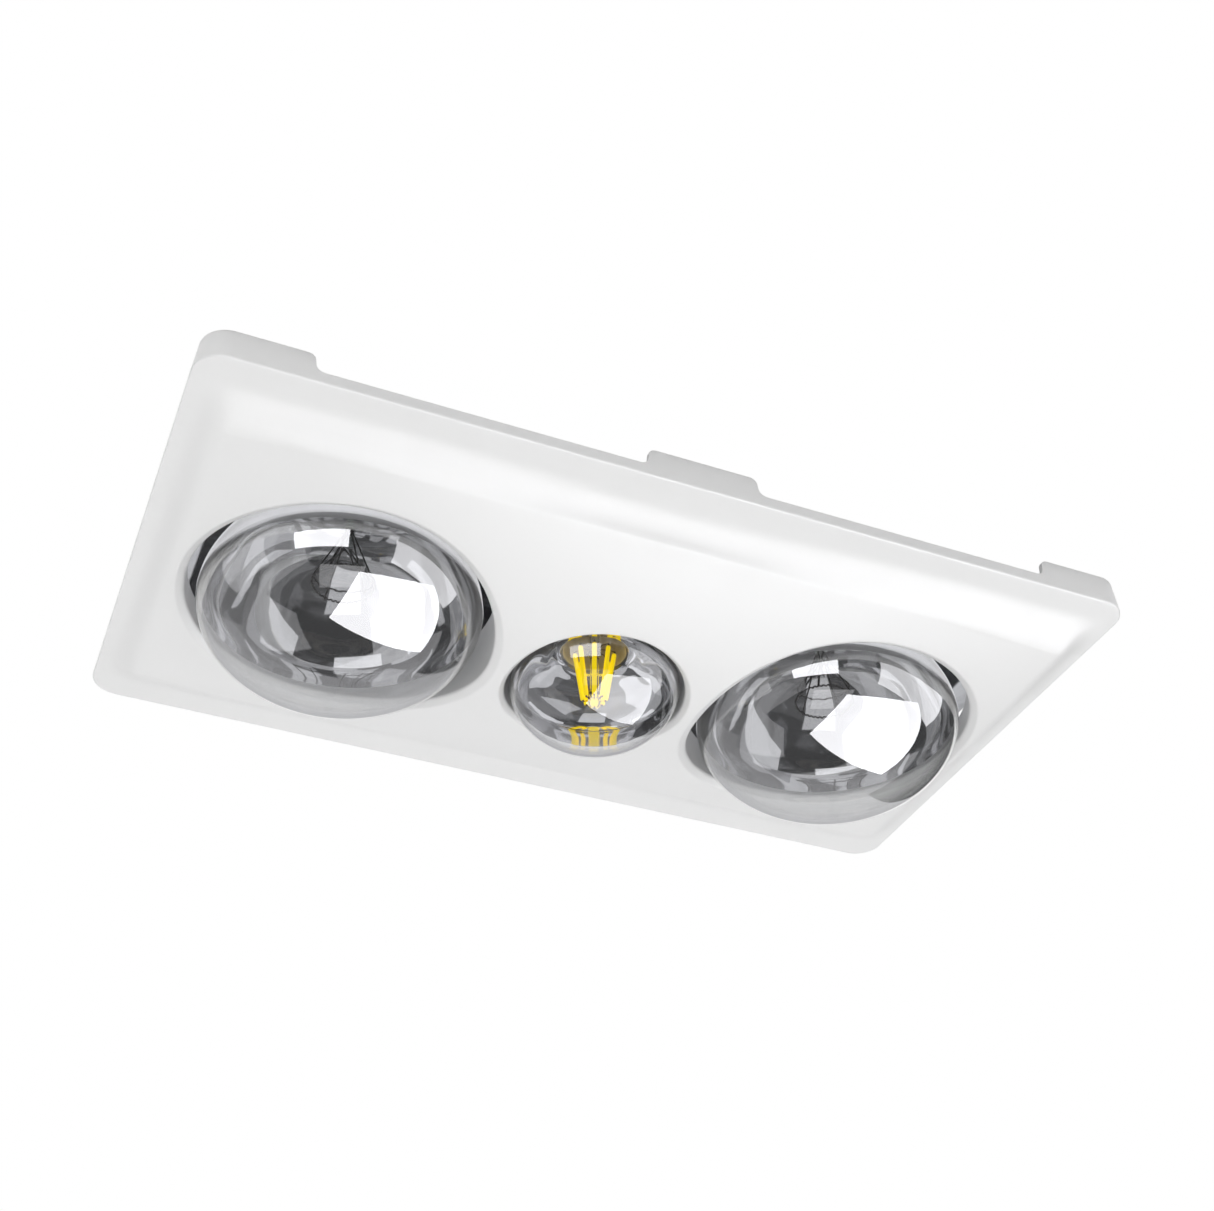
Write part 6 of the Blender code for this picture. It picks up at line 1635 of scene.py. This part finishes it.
# %% Flaps and pins
def draught_flap(tag, drop):
    z, near, far = FLAP_PIVOTS[tag], MOUTH_NEAR + 0.0008, MOUTH_FAR - 0.0008
    stock = block((FLAP_X, near, z + drop), (FLAP_X + 0.0012, far, z - 0.0018))
    knuckle = bar(0.0024, (FLAP_X, near + 0.0020, z), (FLAP_X, far - 0.0020, z), 40)
    rib_z = z + drop / 2
    rib = block((FLAP_X + 0.0006, near + 0.003, rib_z), (FLAP_X + 0.0042, far - 0.003, rib_z + 0.0012))
    cut = [bar(0.0015, (FLAP_X, near - 0.002, z), (FLAP_X, far + 0.002, z), 24)]
    machined(f"swinging_flap_{tag}", f"draught_flap_{tag}", flap_moulding, stock, [knuckle, rib], cut,
             0.00025, body=f"{tag}_flap", place=(FLAP_X, 0, z))
    pin = bar(0.0012, (FLAP_X, MOUTH_NEAR - 0.002, z), (FLAP_X, MOUTH_FAR + 0.002, z), 32)
    machined(f"pivot_pin_{tag}", f"flap_pin_{tag}", bright_steel, pin, edge=0.0003)


draught_flap("upper", -0.0252)
draught_flap("lower", -0.0258)
print("two flaps on their pins")

# %% [markdown]
# ## The wiring box and the clamps
#
# Moulded boxes have rounded corners, thin knock-outs in their sides and a lid that drops in. The gland
# needs flats for a spanner and flutes for the fingers, and the clamp screws need a real thread.

# %% Terminal box, lid and block
BOX_LOW, BOX_HIGH = (-0.171, -0.028, 0.1263), (-0.101, 0.028, 0.1583)
STRIP_LOW, STRIP_HIGH = (-0.14767, -0.022, 0.1286), (-0.13017, 0.022, 0.1426)
GLAND_Z = 0.1423
(x0, y0, z0), (x1, y1, z1) = BOX_LOW, BOX_HIGH

stock = rounded(block(BOX_LOW, BOX_HIGH), 0.0014, 4)
cut = [block((x0 + 0.002, y0 + 0.002, z0 + 0.002), (x1 - 0.002, y1 - 0.002, z1 + 0.01))]
cut.append(bar(0.0083, (x0 - 0.005, 0, GLAND_Z), (x0 + 0.005, 0, GLAND_Z), 64))
cut.append(upright(WIRE_HOLE, WIRE_HOLE_X, 0, z0 - 0.005, z0 + 0.005, 32))
for x in (-0.153, -0.119):
    for y in (y0, y1):
        near, far = y - side_of(y) * 0.0004, y + side_of(y) * 0.002
        cut.append(bar(0.0080, (x, near, GLAND_Z), (x, far, GLAND_Z), 48))
machined("wiring_box", "terminal_box", box_moulding, stock, cut=cut, edge=0.0002)

stock = block((x0, y0, z1 + GAP), (x1, y1, z1 + GAP + 0.002))
spigot = block((x0 + 0.0023, y0 + 0.0023, z1 - 0.0017), (x1 - 0.0023, y1 - 0.0023, z1 + 0.0013))
cut = [block((x0 + 0.006, y0 + 0.006, z1 + 0.0019), (x1 - 0.006, y1 - 0.006, z1 + 0.006))]
machined("wiring_lid", "terminal_cover", box_moulding, stock, [spigot], cut, 0.0004)

(x0, y0, z0), (x1, y1, z1) = STRIP_LOW, STRIP_HIGH
cut = []
for pole in range(4):
    y = y0 + 0.011 * (pole + 0.5)
    cut += [upright(0.0022, x, y, z1 - 0.0030, z1 + 0.002) for x in (-0.1430, -0.1348)]
    cut.append(bar(0.0017, (x0 - 0.002, y, 0.1335), (x1 + 0.002, y, 0.1335), 24))
    if pole:
        cut.append(block((x0 - 0.002, y - 0.0058, 0.1380), (x1 + 0.002, y - 0.0052, 0.15)))
stock = block(STRIP_LOW, STRIP_HIGH)
machined("connector_strip", "terminal_block", block_moulding, stock, cut=cut, edge=0.0003)
print("wiring box, lid and connector strip")

# %% Cable gland
FLATS, FLUTES = 6, 16


def cable_gland():
    """Turned about the wire's way out, which is along -x, then given its flats and flutes."""
    line = mm((4.5, -7.3), (11, -7.3), (11, -2.3), (8, -2.3), (8, 0.3), (11, 0.3), (11, 5), (9, 5.2),
              (9, 6), (10.5, 6.3), (10.7, 6.8), (10.7, 11.2), (10.3, 12.8), (9.6, 14.6), (8.6, 16),
              (7.8, 16.8), (7.2, 17), (6, 17), (5.6, 16.6), (4.5, 15))
    stock = lathe(line, 0, 0, 72, closed=True)
    cut = []
    for i in range(FLATS):
        for low, high in ((-0.0090, -0.0015), (0.0001, 0.0055)):
            flat = block((0.0096, -0.010, low), (0.020, 0.010, high))
            flat.data.transform(Matrix.Rotation(2 * pi * i / FLATS, 4, "Z"))
            cut.append(flat)
    for i in range(FLUTES):
        x, y, _ = on_circle(0.0112, 360 * (i + 0.5) / FLUTES, 0)
        cut.append(upright(0.0010, x, y, 0.0062, 0.0150, 12))
    turn = Matrix.Translation((BOX_LOW[0], 0, GLAND_Z)) @ Matrix.Rotation(radians(-90), 4, "Y")
    for loose in [stock, *cut]:
        loose.data.transform(turn)
    return machined("wire_gland", "cable_gland", box_moulding, stock, cut=cut, edge=0.0002)


report("gland", cable_gland())

# %% Clamps and their screws
ARM_LOW, SCREW_HEAD, THREAD_TURNS, PITCH = 0.0133, -0.0041, 54, 0.0007


def clamp_arm(number, x, y):
    def part(half_x, start, end, low, high):
        """A block of the arm, from start to end on the way out from its screw."""
        return block((x - half_x, y + side_of(y) * start, ARM_LOW + low),
                     (x + half_x, y + side_of(y) * end, ARM_LOW + high))

    stock = upright(0.0052, x, y, ARM_LOW, ARM_LOW + 0.010, 48)
    plate, toe = part(0.0045, 0.002, 0.032, 0.003, 0.005), part(0.0045, 0.032, 0.030, 0, 0.004)
    joined = [plate, toe, part(0.0008, 0.004, 0.028, 0.0045, 0.0049)]
    cut = [upright(SCREW_HOLE, x, y, ARM_LOW - 0.002, ARM_LOW + 0.012, 32)]
    machined(f"swing_clamp_{number}", f"clamp_arm_{number}", zinc_plate, stock, joined, cut, 0.0003,
             body=f"clamp_{number}", place=(x, y, 0))


def clamp_screw(number, x, y):
    line = mm((0, 0), (1.6, 0), (2.9, 0.3), (3.7, 0.9), (4, 1.7), up=SCREW_HEAD)
    line += mm((4, -1.6), (3.9, -1.5), (2, -1.5), (2, 3))
    for turn in range(THREAD_TURNS):
        line += mm((1.7, 3.4), (2, 3.75), up=PITCH * turn)
    line += mm((1.5, 41.6), (1.2, 41.9), (0, 41.9))
    stock, cut = lathe(line, x, y, 28), cross_recess(x, y, SCREW_HEAD, -1, 0.0021)
    machined(f"long_screw_{number}", f"clamp_screw_{number}", bright_steel, stock, cut=cut)


for number, (x, y) in enumerate(CLAMPS, 1):
    clamp_arm(number, x, y)
    clamp_screw(number, x, y)
print("four clamps on their screws")
